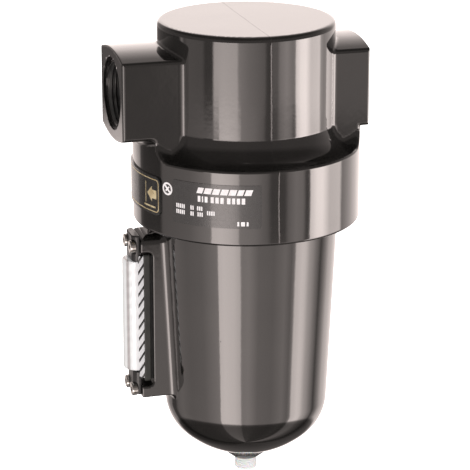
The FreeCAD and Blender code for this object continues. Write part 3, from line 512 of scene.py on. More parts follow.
def port_thread(name, face, inward):
    """Cut thread lining of a port: a spiral V groove swept round the bore."""
    turns_round, rows_per_pitch = 72, 8
    rows = int(THREAD_LENGTH / THREAD_PITCH * rows_per_pitch)
    depth = SPOT_DEPTH + THREAD_LENGTH * np.arange(rows + 1)[:, None] / rows
    angle = FULL_TURN * np.arange(turns_round)[None, :] / turns_round
    crest = tooth(depth / THREAD_PITCH - angle / FULL_TURN)
    lead = np.clip((depth - SPOT_DEPTH) / THREAD_PITCH, 0, 1)
    inner = THREAD_ROOT_R - (THREAD_ROOT_R - THREAD_BORE_R) * crest * lead
    outer = np.full_like(inner, THREAD_ROOT_R + LINING)
    layers = []
    for radius in (inner, outer):
        x = face + inward * np.broadcast_to(depth, inner.shape)
        layers.append(np.stack([x, radius * np.cos(angle), radius * np.sin(angle)], 2))
    vertex = np.concatenate([layer.reshape(-1, 3) for layer in layers])
    number = np.arange(2 * (rows + 1) * turns_round).reshape(2, rows + 1, turns_round)
    after = np.roll(number, -1, 2)
    wall = np.stack([number[:, :-1], after[:, :-1], after[:, 1:], number[:, 1:]], -1)
    wall[1] = wall[1][..., ::-1]
    ends = [
        np.stack([number[0, 0], number[1, 0], after[1, 0], after[0, 0]], -1),
        np.stack([number[0, -1], after[0, -1], after[1, -1], number[1, -1]], -1),
    ]
    quads = np.concatenate([wall.reshape(-1, 4)] + ends)
    if inward > 0:
        quads = quads[:, ::-1]
    make_piece(name, quad_mesh(name, vertex, quads), "head", THREAD_METAL)


THREAD_METAL = plain_finish(
    "port_thread_metal", (0.018, 0.017, 0.016), (0.05, 0.048, 0.045), 0.8, (0.28, 0.42), 0.02, Metallic=0.35
)
port_thread("inlet_port_thread", INLET_X, 1)
port_thread("outlet_port_thread", OUTLET_X, -1)


FLASH_WIDE, FLASH_TALL, FLASH_ROOT = (0.36, 0.2), (0.05, 0.07), -0.12
FLASH_WANDER, FLASH_CREST = 1.2, 0.35


def parting_line():
    """Thin uneven flash left by the die across the top, neck, cove and collar, front and back."""
    quarter = np.linspace(0, math.pi / 2, 9)
    top = [(s, HEAD_TOP, 0.0) for s in np.linspace(0, NECK_R - TOP_ROUND, 24)]
    turn = [(NECK_R - TOP_ROUND + TOP_ROUND * math.sin(a), HEAD_TOP - TOP_ROUND + TOP_ROUND * math.cos(a), a)
            for a in quarter]
    cove_z, cove_y = COLLAR_TOP + COVE_R, NECK_R + COVE_R
    side = [(NECK_R, z, math.pi / 2) for z in np.linspace(HEAD_TOP - TOP_ROUND, cove_z, 24)]
    cove = [(cove_y - COVE_R * math.cos(a), cove_z - COVE_R * math.sin(a), math.pi / 2 - a) for a in quarter]
    edge = [(COLLAR_R - SHOULDER_EDGE + SHOULDER_EDGE * math.sin(a),
             COLLAR_TOP - SHOULDER_EDGE + SHOULDER_EDGE * math.cos(a), a) for a in quarter[::2]]
    low_z = np.linspace(COLLAR_TOP - SHOULDER_EDGE, COLLAR_FOOT + COLLAR_EDGE, 20)
    low = [(COLLAR_R, z, math.pi / 2) for z in low_z]
    half = top + turn[1:] + side[1:] + cove[1:] + edge + low[1:]
    path = [(-y, z, -tilt) for y, z, tilt in half[:0:-1]] + half
    vertex, quads = [], []
    wander = np.cumsum(rng.normal(0, 0.05, len(path)))
    wander -= np.linspace(wander[0], wander[-1], len(path))
    for row, (y, z, tilt) in enumerate(path):
        wide = FLASH_WIDE[0] + FLASH_WIDE[1] * rng.random()
        tall = FLASH_TALL[0] + FLASH_TALL[1] * rng.random()
        middle, crest = FLASH_WANDER * wander[row], FLASH_CREST * wide
        for across, up in ((-wide, FLASH_ROOT), (-crest, tall), (crest, tall), (wide, FLASH_ROOT)):
            vertex.append((middle + across, y + up * math.sin(tilt), z + up * math.cos(tilt)))
        if row:
            start = 4 * row
            quads += [(start - 4 + k, start - 3 + k, start + 1 + k, start + k) for k in range(3)]
            quads.append((start - 1, start - 4, start, start + 3))
    vertex = np.array(vertex)
    vertex[:, 1] = np.clip(vertex[:, 1], HEAD_LOW[1], HEAD_HIGH[1])
    vertex[:, 2] = np.minimum(vertex[:, 2], HEAD_HIGH[2])
    mesh = quad_mesh("parting_line", vertex, np.array(quads))
    make_piece("parting_line", mesh, "head", ENAMEL)


parting_line()


# ---- bowl ----

WALL = 4.0
KNUCKLE_R, KNUCKLE_RHO, KNUCKLE_Z = 27.0, 17.9, -176.0
CROWN_R, CROWN_Z = 53.39, -156.61
TAPER = math.atan(0.0485)
FLANGE_LOW, FLANGE_EDGE = -68.0, 0.4
BOWL_THREAD_PITCH, BOWL_THREAD_DEPTH, THREAD_FADE = 3.0, 0.9, 1.5
GROOVE_IN_R, GROOVE_OUT_R, GROOVE_FLOOR = 47.9, 51.1, -47.9
LAND_R, LAND_Z = 13.0, -203.4
SPOT_R, SPOT_Z = 12.3, -208.2
DRAIN_HOLE_R = 6.4
WEB_HALF, WEB_TOP, WEB_LOW, WEB_BACK = 11.0, -77.5, -170.0, -40
WEB_TOP_ROUND, WEB_EDGE, WEB_ROOT = 4.8, 0.7, 3.2
RECESS_TOP, RECESS_LOW, RECESS_ROUND = -87.0, -163.5, 3.0
SLOT_HALF, SLOT_TOP, SLOT_LOW, SLOT_ROUND = 2.6, -94.0, -156.0, 1.5
SLOT_FRONT, SLOT_BACK = -70, -38
SCREW_Y = 6.3
SCREW_HEIGHTS = (-84.0, -165.8)
SCREW_HOLE_R, SCREW_HOLE_X = 1.52, -55.0


def bowl_skin(rho, z):
    """Distance to the tapered wall, the knuckle and the crown of the dome."""
    out, up = rho - KNUCKLE_RHO, z - KNUCKLE_Z
    wall = out * math.cos(TAPER) - up * math.sin(TAPER) - KNUCKLE_R
    knuckle = np.hypot(out, up) - KNUCKLE_R
    crown = np.hypot(rho, z - CROWN_Z) - CROWN_R
    above_knuckle = out * math.sin(TAPER) + up * math.cos(TAPER) > 0
    within_crown = rho * (CROWN_Z - KNUCKLE_Z) < KNUCKLE_RHO * (CROWN_Z - z)
    return np.where(above_knuckle, wall, np.where(within_crown, crown, knuckle))


def sight_web(x, y, z):
    """C-shaped boss that carries the sight glass, with a deep recess between its two ears."""
    plan = both(slab(x, WEB_X, WEB_BACK), slab(y, -WEB_HALF, WEB_HALF), WEB_EDGE)
    boss = both(both(plan, WEB_LOW - z, WEB_EDGE), z - WEB_TOP, WEB_TOP_ROUND)
    recess = both(slab(z, RECESS_LOW, RECESS_TOP), x - GASKET_HIGH[0], RECESS_ROUND)
    return minus(boss, recess, WEB_EDGE)


def screw_rods(y, z):
    """Distance to the nearest of the four clamp screw axes."""
    up = np.minimum(np.abs(z - SCREW_HEIGHTS[0]), np.abs(z - SCREW_HEIGHTS[1]))
    return np.hypot(np.abs(y) - SCREW_Y, up)


def bowl_shape(x, y, z):
    """Cast bowl with its threaded flange, sight glass boss, seal groove and drain seat."""
    rho = np.hypot(x, y)
    skin = bowl_skin(rho, z)
    outer = both(skin, z - RIM_Z)
    spiral = z / BOWL_THREAD_PITCH - np.arctan2(y, x) / FULL_TURN
    fade = np.clip((z - FLANGE_LOW - 1) / THREAD_FADE, 0, 1) * np.clip((RIM_Z - 3 - z) / THREAD_FADE, 0, 1)
    thread_r = FLANGE_R - BOWL_THREAD_DEPTH * fade * (1 - tooth(spiral))
    flange = both(rho - thread_r, slab(z, FLANGE_LOW, RIM_Z), FLANGE_EDGE)
    solid = either(either(outer, flange, 0.8), sight_web(x, y, z), WEB_ROOT)
    solid = minus(solid, both(rho - SPOT_R, z - SPOT_Z))
    pad = both(rho - LAND_R, z - LAND_Z, 0.5)
    solid = minus(solid, minus(skin + WALL, pad, 0.8), 0.4)
    groove = both(slab(rho, GROOVE_IN_R, GROOVE_OUT_R), GROOVE_FLOOR - z)
    solid = minus(solid, groove)
    solid = minus(solid, rho - DRAIN_HOLE_R + np.maximum(z - LAND_Z - 1, 0))
    slot = both(slab(y, -SLOT_HALF, SLOT_HALF), slab(z, SLOT_LOW, SLOT_TOP), SLOT_ROUND)
    solid = minus(solid, both(slot, slab(x, SLOT_FRONT, SLOT_BACK)))
    holes = both(screw_rods(y, z) - SCREW_HOLE_R, x - SCREW_HOLE_X)
    return minus(solid, holes)


BOWL_LINES = (
    ruler(-63.27, (-53.93, 0.5), (-44.87, 0.8), (55.13, 1.75)),
    ruler(-54.87, (-14.07, 1.75), (-9.83, 0.5), (9.77, 1.0), (14.13, 0.5), (54.93, 1.75)),
    ruler(-209.53, (-203.07, 0.7), (-177.13, 1.5), (-161.17, 0.7), (-92.13, 2.4), (-74.87, 0.7),
          (-67.03, 0.8), (-45.03, 0.6)),
)
cast("bowl_casting", bowl_shape, BOWL_LINES, "bowl", ENAMEL, ["bowl"])


# ---- sight glass ----

LENS_TOP, LENS_LOW_Z = -92.6, -155.0
LENS_FOOT_X, TONGUE_X = LENS_HIGH[0], -63.3
LENS_HALF = LENS_HIGH[1]
LENS_ROUND, TONGUE_ROUND = 7.9, 1.2
LENS_FRONT_X = LENS_LOW[0] - 1.2
PRISM_X, PRISM_PITCH, PRISM_LEAN = -63.0, 6.3, 1.5
PRISM_DEPTH, PRISM_WIDE = 0.8, 2.0
CLAMP_HALF, CLAMP_EDGE = 8.6, 3.7
CLAMP_X, CLAMP_SEAT_X = -66.0, WEB_X
CLAMPS = {"upper_clamp": SCREW_HEIGHTS[0], "lower_clamp": SCREW_HEIGHTS[1]}
LIP_X = -63.2
CLAMP_TOP = -77.8
TONGUE_REACH = 3.4
SCREW_SEAT_X, COUNTERBORE_R = -64.3, 3.8
SCREW_HEAD_R, SCREW_DOME_R, SCREW_SHANK_R = 3.6, 4.4, 1.5
SOCKET_ACROSS, SOCKET_DEPTH = 1.25, 1.4
SCREW_THREAD_DEPTH, SCREW_THREAD_PITCH = 0.12, 0.8
BEAD_IN, BEAD_OUT = 6.6, 7.2


def prism_phase(x, z):
    """Whole numbers on the middles of the lens's slanted prism flutes."""
    return (z - LENS_TOP - (x - PRISM_X) * PRISM_LEAN) / PRISM_PITCH


def lens_shape(x, y, z):
    """Half-round bar with slanted flutes in its sides, and a thin tongue at each end."""
    side = np.abs(y) - LENS_HALF
    front = both(side, slab(x, LENS_FRONT_X, LENS_FOOT_X + 9), LENS_ROUND)
    block = both(front, slab(z, LENS_LOW_Z, LENS_TOP), 0.3)
    tongue = both(both(side, slab(z, LENS_LOW[2], LENS_HIGH[2]), 0.3), TONGUE_X - x, TONGUE_ROUND)
    solid = both(either(block, tongue, 0.4), x - LENS_FOOT_X)
    phase = prism_phase(x, z)
    across = np.abs(phase - np.round(phase)) * PRISM_PITCH
    flute = both(across - PRISM_WIDE / 2, -PRISM_DEPTH - side)
    flute = both(both(flute, PRISM_X - x), slab(z, LENS_LOW_Z + 0.8, LENS_TOP - 0.8))
    return minus(solid, flute)


def holder_shape(x, y, z):
    """Flat strip behind the lens, slotted for the liquid, with a seal groove each side."""
    low, high = HOLDER_LOW, HOLDER_HIGH
    strip = both(slab(y, low[1], high[1]), slab(z, low[2], high[2]), 1.0)
    strip = both(strip, slab(x, low[0], high[0]), 0.35)
    groove = both(slab(np.abs(y), BEAD_IN, BEAD_OUT), slab(x, low[0] - 1, low[0] + 0.5))
    slot = both(slab(y, -SLOT_HALF, SLOT_HALF), slab(z, SLOT_LOW, SLOT_TOP), 1.0)
    return minus(minus(strip, slot, 0.2), groove)


def clamp_shape(node):
    """Clamp bar with rounded outer edges, counterbores and a rebate over the lens's tongue."""
    low, high = span(node)
    high[2] = min(high[2], CLAMP_TOP)
    toward_lens = -1 if node == "upper_clamp" else 1
    lens_end = low[2] if toward_lens < 0 else high[2]

    def shape(x, y, z):
        bar = both(np.abs(y) - CLAMP_HALF, CLAMP_X - x, CLAMP_EDGE)
        bar = both(both(bar, slab(z, low[2], high[2]), 0.45), x - CLAMP_SEAT_X, 0.3)
        over_lens = (lens_end - z) * toward_lens
        rebate = both(LIP_X - x, over_lens - TONGUE_REACH)
        holes = screw_rods(y, z)
        bar = minus(minus(bar, rebate), holes - SCREW_HOLE_R)
        return minus(bar, both(holes - COUNTERBORE_R, x - SCREW_SEAT_X), 0.25)

    return shape, (
        ruler(CLAMP_X - 0.63, (CLAMP_SEAT_X + 0.67, 0.37)),
        ruler(-CLAMP_HALF - 0.57, (CLAMP_HALF + 0.61, 0.43)),
        ruler(low[2] - 0.53, (high[2] + 0.59, 0.41)),
    )


def screw_shape(side, height):
    """Button head screw with a hexagon socket."""
    def shape(x, y, z):
        dy, dz = y - side, z - height
        radial = np.hypot(dy, dz)
        dome = np.sqrt((x - SCREW_SEAT_X) ** 2 + radial ** 2) - SCREW_DOME_R
        button = both(radial - SCREW_HEAD_R, dome, 0.35)
        top = both(button, slab(x, SCREWS_LOW[0], SCREW_SEAT_X), 0.2)
        flat = np.maximum(np.abs(dz), np.abs(dz) / 2 + np.abs(dy) * math.sin(math.pi / 3)) - SOCKET_ACROSS
        top = minus(top, both(flat, x - SCREWS_LOW[0] - SOCKET_DEPTH), 0.12)
        ripple = SCREW_THREAD_DEPTH * (1 - np.sin(FULL_TURN * x / SCREW_THREAD_PITCH))
        shank = both(radial - SCREW_SHANK_R + ripple, slab(x, SCREW_SEAT_X - 0.5, SCREWS_HIGH[0]), 0.1)
        return either(top, shank)

    return shape, (
        ruler(SCREWS_LOW[0] - 0.43, (SCREW_SEAT_X + 0.31, 0.17), (SCREWS_HIGH[0] + 0.39, 0.25)),
        ruler(side - 3.93, (side + 3.97, 0.21)),
        ruler(height - 3.89, (height + 4.01, 0.21)),
    )


def lens_plastic():
    """Clear moulded lens with painted light: a bright painted-highlight body, painted shade on its round
    edges and painted shade in the prism flutes at its foot.
    """
    nodes = Nodes("clear_lens", Roughness=0.06, IOR=1.49, Transmission_Weight=0.25, Coat_Weight=0.5)
    split = nodes.add("ShaderNodeSeparateXYZ")
    nodes.join(nodes.place.outputs[0], split.inputs[0])
    from_front = nodes.math("SUBTRACT", split.outputs["X"], AXIS_X / MM + LENS_FRONT_X)
    length = PRISM_X - LENS_FRONT_X
    along = nodes.math("DIVIDE", from_front, length)
    # Bands along the lens's depth are painted light: white painted highlight on the body and grey painted
    # shade on the round edges; the milky foot is the plastic's own tint.
    white, painted_edge_shade, milky = (0.97, 0.95, 0.94), (0.50, 0.45, 0.44), (0.86, 0.83, 0.83)
    painted_light_bands = ((0.0, white), (0.12, white), (0.2, painted_edge_shade), (0.3, painted_edge_shade), (0.38, white), (1.0, milky))
    body = nodes.ramp(along, *painted_light_bands)
    cloudy = nodes.ramp(nodes.noise(9.0), (0.3, (0.94, 0.94, 0.95)), (0.7, 1.0))
    tint = nodes.mixed(1.0, body, cloudy, "MULTIPLY")
    leaned = nodes.math("MULTIPLY", nodes.math("SUBTRACT", from_front, length), -PRISM_LEAN)
    phase = nodes.math("DIVIDE", nodes.math("ADD", split.outputs["Z"], leaned), PRISM_PITCH)
    phase = nodes.math("SUBTRACT", phase, LENS_TOP / PRISM_PITCH - 0.5)
    wave = nodes.math("ABSOLUTE", nodes.math("SUBTRACT", nodes.math("FRACT", phase), 0.5))
    half = PRISM_WIDE / 2 / PRISM_PITCH
    # Mask of the prism flutes at the lens's foot, where the painted shade goes.
    flute = nodes.ramp(wave, (0.0, 1.0), (half * 0.85, 1.0), (half * 1.25, 0.0))
    behind = nodes.ramp(along, (0.98, 0.0), (1.0, 1.0))
    painted_flute_shade = nodes.math("MULTIPLY", flute, behind)
    # Near-black painted shade, mixed into the flutes.
    dark = nodes.ramp(nodes.noise(2.0), (0.3, 0.012), (0.7, (0.05, 0.048, 0.046)))
    nodes.bump((nodes.noise(7.0, detail=1.0), 0.02))
    return nodes.paint(nodes.mixed(painted_flute_shade, tint, dark))


def span_lines(low, high, pitch, margin=0.57):
    return tuple(ruler(low[k] - margin, (high[k] + margin + 0.04, pitch)) for k in range(3))


SATIN_BLACK = dict(Specular_IOR_Level=0.3, Coat_Weight=0.35, Coat_Roughness=0.12)
CLAMP_BLACK = plain_finish(
    "clamp_black", 0.006, (0.012, 0.011, 0.011), 1.4, (0.25, 0.38), 0.012, **SATIN_BLACK
)
MOULDING = plain_finish(
    "dark_moulding", (0.022, 0.022, 0.019), (0.034, 0.033, 0.028), 0.9, (0.42, 0.55), 0.015
)
SCREW_METAL = plain_finish(
    "bright_screw", (0.62, 0.60, 0.57), (0.80, 0.78, 0.74), 0.5, (0.10, 0.22), 0.008, Metallic=1.0
)

lens_lines = (
    ruler(LENS_FRONT_X - 0.43, (LENS_HIGH[0] + 0.47, 0.36)),
    ruler(-LENS_HALF - 0.41, (LENS_HALF + 0.39, 0.45)),
    ruler(LENS_LOW[2] - 0.61, (LENS_HIGH[2] + 0.57, 0.5)),
)
cast("sight_glass_lens", lens_shape, lens_lines, "bowl", lens_plastic(), ["sight_lens"])
holder_lines = span_lines(HOLDER_LOW, HOLDER_HIGH, 0.55)
cast("lens_backing", holder_shape, holder_lines, "bowl", MOULDING, ["lens_holder"])
for node in CLAMPS:
    shape, lines = clamp_shape(node)
    cast(node + "_bar", shape, lines, "bowl", CLAMP_BLACK, [node])
for end, height in zip(("upper", "lower"), SCREW_HEIGHTS):
    for side_name, side in (("front", -SCREW_Y), ("back", SCREW_Y)):
        shape, lines = screw_shape(side, height)
        name = "clamp_screw_%s_%s" % (end, side_name)
        cast(name, shape, lines, "bowl", SCREW_METAL, ["clamp_screws"])


# ---- plates on the collar ----

PLATE_IN_R = COLLAR_R - 0.05
PRINT_SINK, PRINT_THICK = 0.02, 0.03
SEGMENT = 1.2


def on_collar(azimuth, z, radius):
    """Point on the collar; azimuth in degrees from the front towards the outlet."""
    angle = np.radians(azimuth)
    height = np.broadcast_to(z, np.shape(angle))
    return np.stack([radius * np.sin(angle), -radius * np.cos(angle), height], -1)


def degrees(length):
    """Angle that a length in millimetres covers on the collar."""
    return math.degrees(length / COLLAR_R)


class Plate:
    """Thin pieces that follow the collar, gathered into one mesh."""

    def __init__(self, inner, outer):
        self.radii = (inner, outer)
        self.vertex = []
        self.quads = []

    def strip(self, one_side, other_side, closed=False):
        """Solid strip between two lines of (azimuth, z) points of equal length."""
        start = sum(len(part) for part in self.vertex)
        count = len(one_side)
        for radius in self.radii:
            for side in (one_side, other_side):
                azimuth, z = np.array(side, float).T
                self.vertex.append(on_collar(azimuth, z, radius))
        a_in, b_in, a_out, b_out = (start + k * count + np.arange(count) for k in range(4))
        last = count if closed else count - 1
        for k in range(last):
            n = (k + 1) % count
            self.quads += [
                (a_out[k], a_out[n], b_out[n], b_out[k]), (b_in[k], b_in[n], a_in[n], a_in[k]),
                (a_in[k], a_in[n], a_out[n], a_out[k]), (b_out[k], b_out[n], b_in[n], b_in[k]),
            ]
        if not closed:
            self.quads += [(a_in[0], a_out[0], b_out[0], b_in[0]), (a_in[-1], b_in[-1], b_out[-1], a_out[-1])]

    def stroke(self, path, width, closed=False):
        """Line of even width along (azimuth, z) points; width in millimetres."""
        points = np.array(path, float)
        points[:, 0] *= math.radians(COLLAR_R)
        if closed:
            along = np.roll(points, -1, 0) - np.roll(points, 1, 0)
        else:
            along = np.gradient(points, axis=0)
        across = np.stack([-along[:, 1], along[:, 0]], 1)
        across *= width / 2 / np.linalg.norm(across, axis=1, keepdims=True)
        sides = [points - across, points + across]
        for side in sides:
            side[:, 0] /= math.radians(COLLAR_R)
        self.strip(sides[0], sides[1], closed)

    def bar(self, start, end, z, height, lean=0.0):
        """Upright-ended bar from azimuth start to end, leaning like italics by lean millimetres."""
        count = 2 + int(abs(end - start) / degrees(SEGMENT))
        shift = degrees(lean) / 2
        low = [(a - shift, z - height / 2) for a in np.linspace(start, end, count)]
        high = [(a + shift, z + height / 2) for a in np.linspace(start, end, count)]
        self.strip(low, high)

    def panel(self, start, end, low, high, corner):
        """Plate with rounded corners."""
        columns = [start + degrees(corner) * (1 - math.cos(a)) for a in np.linspace(0, math.pi / 2, 7)]
        columns += list(np.arange(columns[-1] + SEGMENT, end - degrees(corner) - 0.3, SEGMENT))
        columns += [start + end - a for a in columns[6::-1]]
        drops = []
        for azimuth in columns:
            inset = max(0.0, corner - math.radians(min(azimuth - start, end - azimuth)) * COLLAR_R)
            drops.append(corner - math.sqrt(max(corner ** 2 - inset ** 2, 0.0)))
        edges = list(zip(columns, drops))
        self.strip([(a, low + d) for a, d in edges], [(a, high - d) for a, d in edges])

    def finish(self, name, material, replaced=()):
        mesh = quad_mesh(name, np.concatenate(self.vertex), np.array(self.quads))
        mesh.set_sharp_from_angle(angle=math.radians(35))
        return make_piece(name, mesh, "head", material, replaced)


def rounded_loop(start, end, low, high, corner, steps=6):
    """Closed rounded rectangle as (azimuth, z) points."""
    points = []
    wide = degrees(corner)
    corners = ((end - wide, high - corner, 0), (start + wide, high - corner, 1),
               (start + wide, low + corner, 2), (end - wide, low + corner, 3))
    for azimuth, z, quarter in corners:
        for step in range(steps + 1):
            angle = (quarter + step / steps) * math.pi / 2
            points.append((azimuth + wide * math.cos(angle), z + corner * math.sin(angle)))
    dense = []
    for here, there in zip(points, points[1:] + points[:1]):
        gap = math.hypot((there[0] - here[0]) / degrees(1), there[1] - here[1])
        count = max(1, int(gap / SEGMENT))
        here, there = np.array(here), np.array(there)
        dense += [tuple(here + (there - here) * k / count) for k in range(count)]
    return dense


LABEL_START, LABEL_END = -55.0, -8.7
BADGE_START, BADGE_END = -114.0, -63.0
LABEL_R, LABEL_CORNER = 61.85, 1.2
BADGE_R, BADGE_CORNER = 62.55, 3.0

label_film = plain_finish(
    "label_film", (0.014, 0.013, 0.013), (0.022, 0.021, 0.020), 0.35, (0.20, 0.30), 0.006,
    Specular_IOR_Level=0.5, Coat_Weight=0.55, Coat_Roughness=0.09,
)
pale_ink = plain_finish("pale_ink", (0.80, 0.72, 0.71), (0.93, 0.88, 0.87), 0.3, (0.35, 0.5), 0.004)
gold_foil = plain_finish(
    "gold_foil", (0.55, 0.40, 0.20), (0.86, 0.72, 0.46), 0.7, (0.25, 0.4), 0.006, Metallic=0.55
)
badge_plastic = plain_finish(
    "badge_plastic", 0.010, (0.018, 0.017, 0.016), 0.8, (0.22, 0.34), 0.01,
    Coat_Weight=0.7, Coat_Roughness=0.05,
)

label = Plate(PLATE_IN_R, LABEL_R)
label.panel(LABEL_START, LABEL_END, LABEL_LOW[2], LABEL_HIGH[2], LABEL_CORNER)
label.finish("rating_label_film", label_film, ["rating_label"])

# The print is rows of plain bars: (first azimuth, z, height, lean, gap) and the bars' widths, 0 for a space.
BAR_ROWS = (
    ((-40.6, -43.0, 3.1, 1.1, 0.75), (3.2, 3.9, 3.6, 3.7, 3.6, 3.1, 3.6)),
    ((-40.4, -47.6, 3.2, 0.0, 0.85), (1.5, 0.7, 1.6, 0.0, 1.7, 1.8, 1.8, 0.0, 1.8, 1.6, 1.7, 1.8)),
)
# Small print: the height of each line, and the (azimuth, width) of its groups of narrow bars.
SMALL_PRINT = {
    -52.9: ((-52.6, 6.2), (-44.4, 2.0), (-40.8, 3.4)),
    -56.1: ((-52.6, 6.2), (-44.4, 2.3), (-40.6, 2.8)),
    -54.9: ((-35.6, 4.4),),
}
SMALL_HEIGHT, SMALL_BAR, SMALL_STEP = 2.3, 0.75, 1.15
CORNER_MARK_Z, CORNER_MARK = -59.9, ((-20.6, 1.0), (-18.8, 2.0), (-16.1, 1.0))
BORDER_INSET, BORDER_WIDTH = 0.5, 0.22

print_marks = Plate(LABEL_R - PRINT_SINK, LABEL_R + PRINT_THICK)
for (azimuth, z, height, lean, gap), widths in BAR_ROWS:
    for wide in widths:
        if wide:
            print_marks.bar(azimuth, azimuth + degrees(wide), z, height, lean)
        azimuth += degrees(wide + gap)
for z, words in SMALL_PRINT.items():
    for azimuth, wide in words:
        letter = azimuth
        while letter < azimuth + degrees(wide) - degrees(0.5):
            print_marks.bar(letter, letter + degrees(SMALL_BAR), z, SMALL_HEIGHT)
            letter += degrees(SMALL_STEP)
for azimuth, wide in CORNER_MARK:
    print_marks.bar(azimuth, azimuth + degrees(wide), CORNER_MARK_Z, SMALL_HEIGHT)
print_marks.finish("rating_label_print", pale_ink)

edge_line = Plate(LABEL_R - PRINT_SINK, LABEL_R + PRINT_THICK / 2)
border = rounded_loop(LABEL_START + BORDER_INSET, LABEL_END - BORDER_INSET,
                      LABEL_LOW[2] + BORDER_INSET, LABEL_HIGH[2] - BORDER_INSET, 1.0)
edge_line.stroke(border, BORDER_WIDTH, closed=True)
edge_line.finish("rating_label_border", label_film)

symbol = Plate(PLATE_IN_R, COLLAR_R + 0.05)
SYMBOL_AZ, SYMBOL_Z, SYMBOL_R = -58.5, -45.4, 3.0
around = np.linspace(0, FULL_TURN, 40, endpoint=False)
ring = [(SYMBOL_AZ + degrees(SYMBOL_R * math.cos(a)), SYMBOL_Z + SYMBOL_R * math.sin(a)) for a in around]
symbol.stroke(ring, 1.0, closed=True)
symbol.stroke([(SYMBOL_AZ + degrees(t), SYMBOL_Z - t) for t in np.linspace(-1.7, 1.7, 5)], 1.1)
symbol.stroke([(SYMBOL_AZ + degrees(t), SYMBOL_Z + t) for t in np.linspace(-1.3, 1.3, 5)], 0.9)
symbol.finish("round_symbol", pale_ink)

GILT_LINE = 0.5
ARROW_Z, ARROW_TIP, ARROW_NECK, ARROW_TAIL = -50.4, -73.0, -69.2, -65.6
ARROW_SHAFT, ARROW_WING = 4.8, 4.2
UNDERLINE = (-76.0, -66.4, -57.4, 0.9)
UPRIGHT_AZ, UPRIGHT_Z = -74.6, (-56.2, -44.6)

badge = Plate(PLATE_IN_R, BADGE_R)
badge.panel(BADGE_START, BADGE_END, BADGE_LOW[2], BADGE_HIGH[2], BADGE_CORNER)
badge.finish("flow_badge_plate", badge_plastic, ["flow_badge"])
gilding = Plate(BADGE_R - PRINT_SINK, BADGE_R + 0.04)
outline = rounded_loop(BADGE_START + 1.8, BADGE_END - 1.1, BADGE_LOW[2] + 1.7, BADGE_HIGH[2] - 1.7, 2.0)
gilding.stroke(outline, GILT_LINE, closed=True)
gilding.bar(ARROW_NECK, ARROW_TAIL, ARROW_Z, ARROW_SHAFT)
head_columns = np.linspace(ARROW_NECK, ARROW_TIP, 6)
gilding.strip(
    [(a, ARROW_Z + ARROW_WING * (1 - 0.97 * k / 5)) for k, a in enumerate(head_columns)],
    [(a, ARROW_Z - ARROW_WING * (1 - 0.97 * k / 5)) for k, a in enumerate(head_columns)],
)
gilding.bar(*UNDERLINE)
gilding.stroke([(UPRIGHT_AZ, z) for z in np.linspace(*UPRIGHT_Z, 8)], GILT_LINE)
gilding.finish("flow_badge_gilding", gold_foil)


# ---- drain under the bowl ----

NUT_SERRATIONS, SERRATION_R = 24, 0.6
NUT_STEP_Z = -211.2
NUT_LOW_R, NUT_BORE_R = 7.4, 6.22
STUB_R, STUB_PITCH, STUB_THREAD, STUB_PLAIN = 6.2, 1.3, 0.5, 7
DRAIN_FLANGE_R, DRAIN_FLANGE_LOW, DRAIN_FLANGE_TOP = 11.0, -201.8, -198.8
TOWER_R, TOWER_BORE_R = 9.5, 7.5
VALVE_SEAT_Z, VALVE_SEAT_R = -200.4, 2.4
OUTLET_THREAD_R, OUTLET_THREAD_TOP = 4.3, -213.8
TOWER_WINDOWS, WINDOW_R, WINDOW_Z = 6, 1.6, -195.6


def nut_shape(x, y, z):
    """Ring nut with a serrated rim and a cone below it."""
    rho, angle = np.hypot(x, y), np.arctan2(y, x)
    top_r = NUT_HIGH[0]
    drop = (top_r - NUT_LOW_R) / (NUT_STEP_Z - NUT_LOW[2])
    cone = (rho - NUT_LOW_R - (z - NUT_LOW[2]) * drop) / math.hypot(1, drop)
    blank = both(both(rho - top_r, cone, 0.4), slab(z, NUT_LOW[2], NUT_HIGH[2]), 0.3)
    pitch = FULL_TURN / NUT_SERRATIONS
    nearest = angle - pitch * np.round(angle / pitch)
    flute = np.hypot(rho * np.cos(nearest) - top_r - 0.1, rho * np.sin(nearest)) - SERRATION_R
    return minus(minus(blank, flute, 0.15), rho - NUT_BORE_R)


def drain_shape(x, y, z):
    """Threaded stub and flange of the drain, and the windowed tower that guides its valve."""
    rho, angle = np.hypot(x, y), np.arctan2(y, x)
    spiral = tooth(z / STUB_PITCH - angle / FULL_TURN)
    fade = np.clip(DRAIN_FLANGE_LOW - STUB_PLAIN - z, 0, 1)
    thread_r = STUB_R - STUB_THREAD * (1 - spiral) * fade
    stub = both(rho - thread_r, slab(z, DRAIN_LOW[2], DRAIN_FLANGE_LOW + 1), 0.3)
    flange = both(rho - DRAIN_FLANGE_R, slab(z, DRAIN_FLANGE_LOW, DRAIN_FLANGE_TOP), 0.3)
    tower = both(rho - TOWER_R, slab(z, DRAIN_FLANGE_TOP - 1, DRAIN_HIGH[2]), 0.3)
    solid = either(either(stub, flange), tower, 0.5)
    solid = minus(solid, both(rho - TOWER_BORE_R, VALVE_SEAT_Z - z))
    solid = minus(solid, rho - VALVE_SEAT_R)
    solid = minus(solid, both(rho - OUTLET_THREAD_R, z - OUTLET_THREAD_TOP))
    pitch = FULL_TURN / TOWER_WINDOWS
    nearest = angle - pitch * np.round(angle / pitch)
    return minus(solid, both(np.hypot(rho * np.sin(nearest), z - WINDOW_Z) - WINDOW_R, 5 - rho))


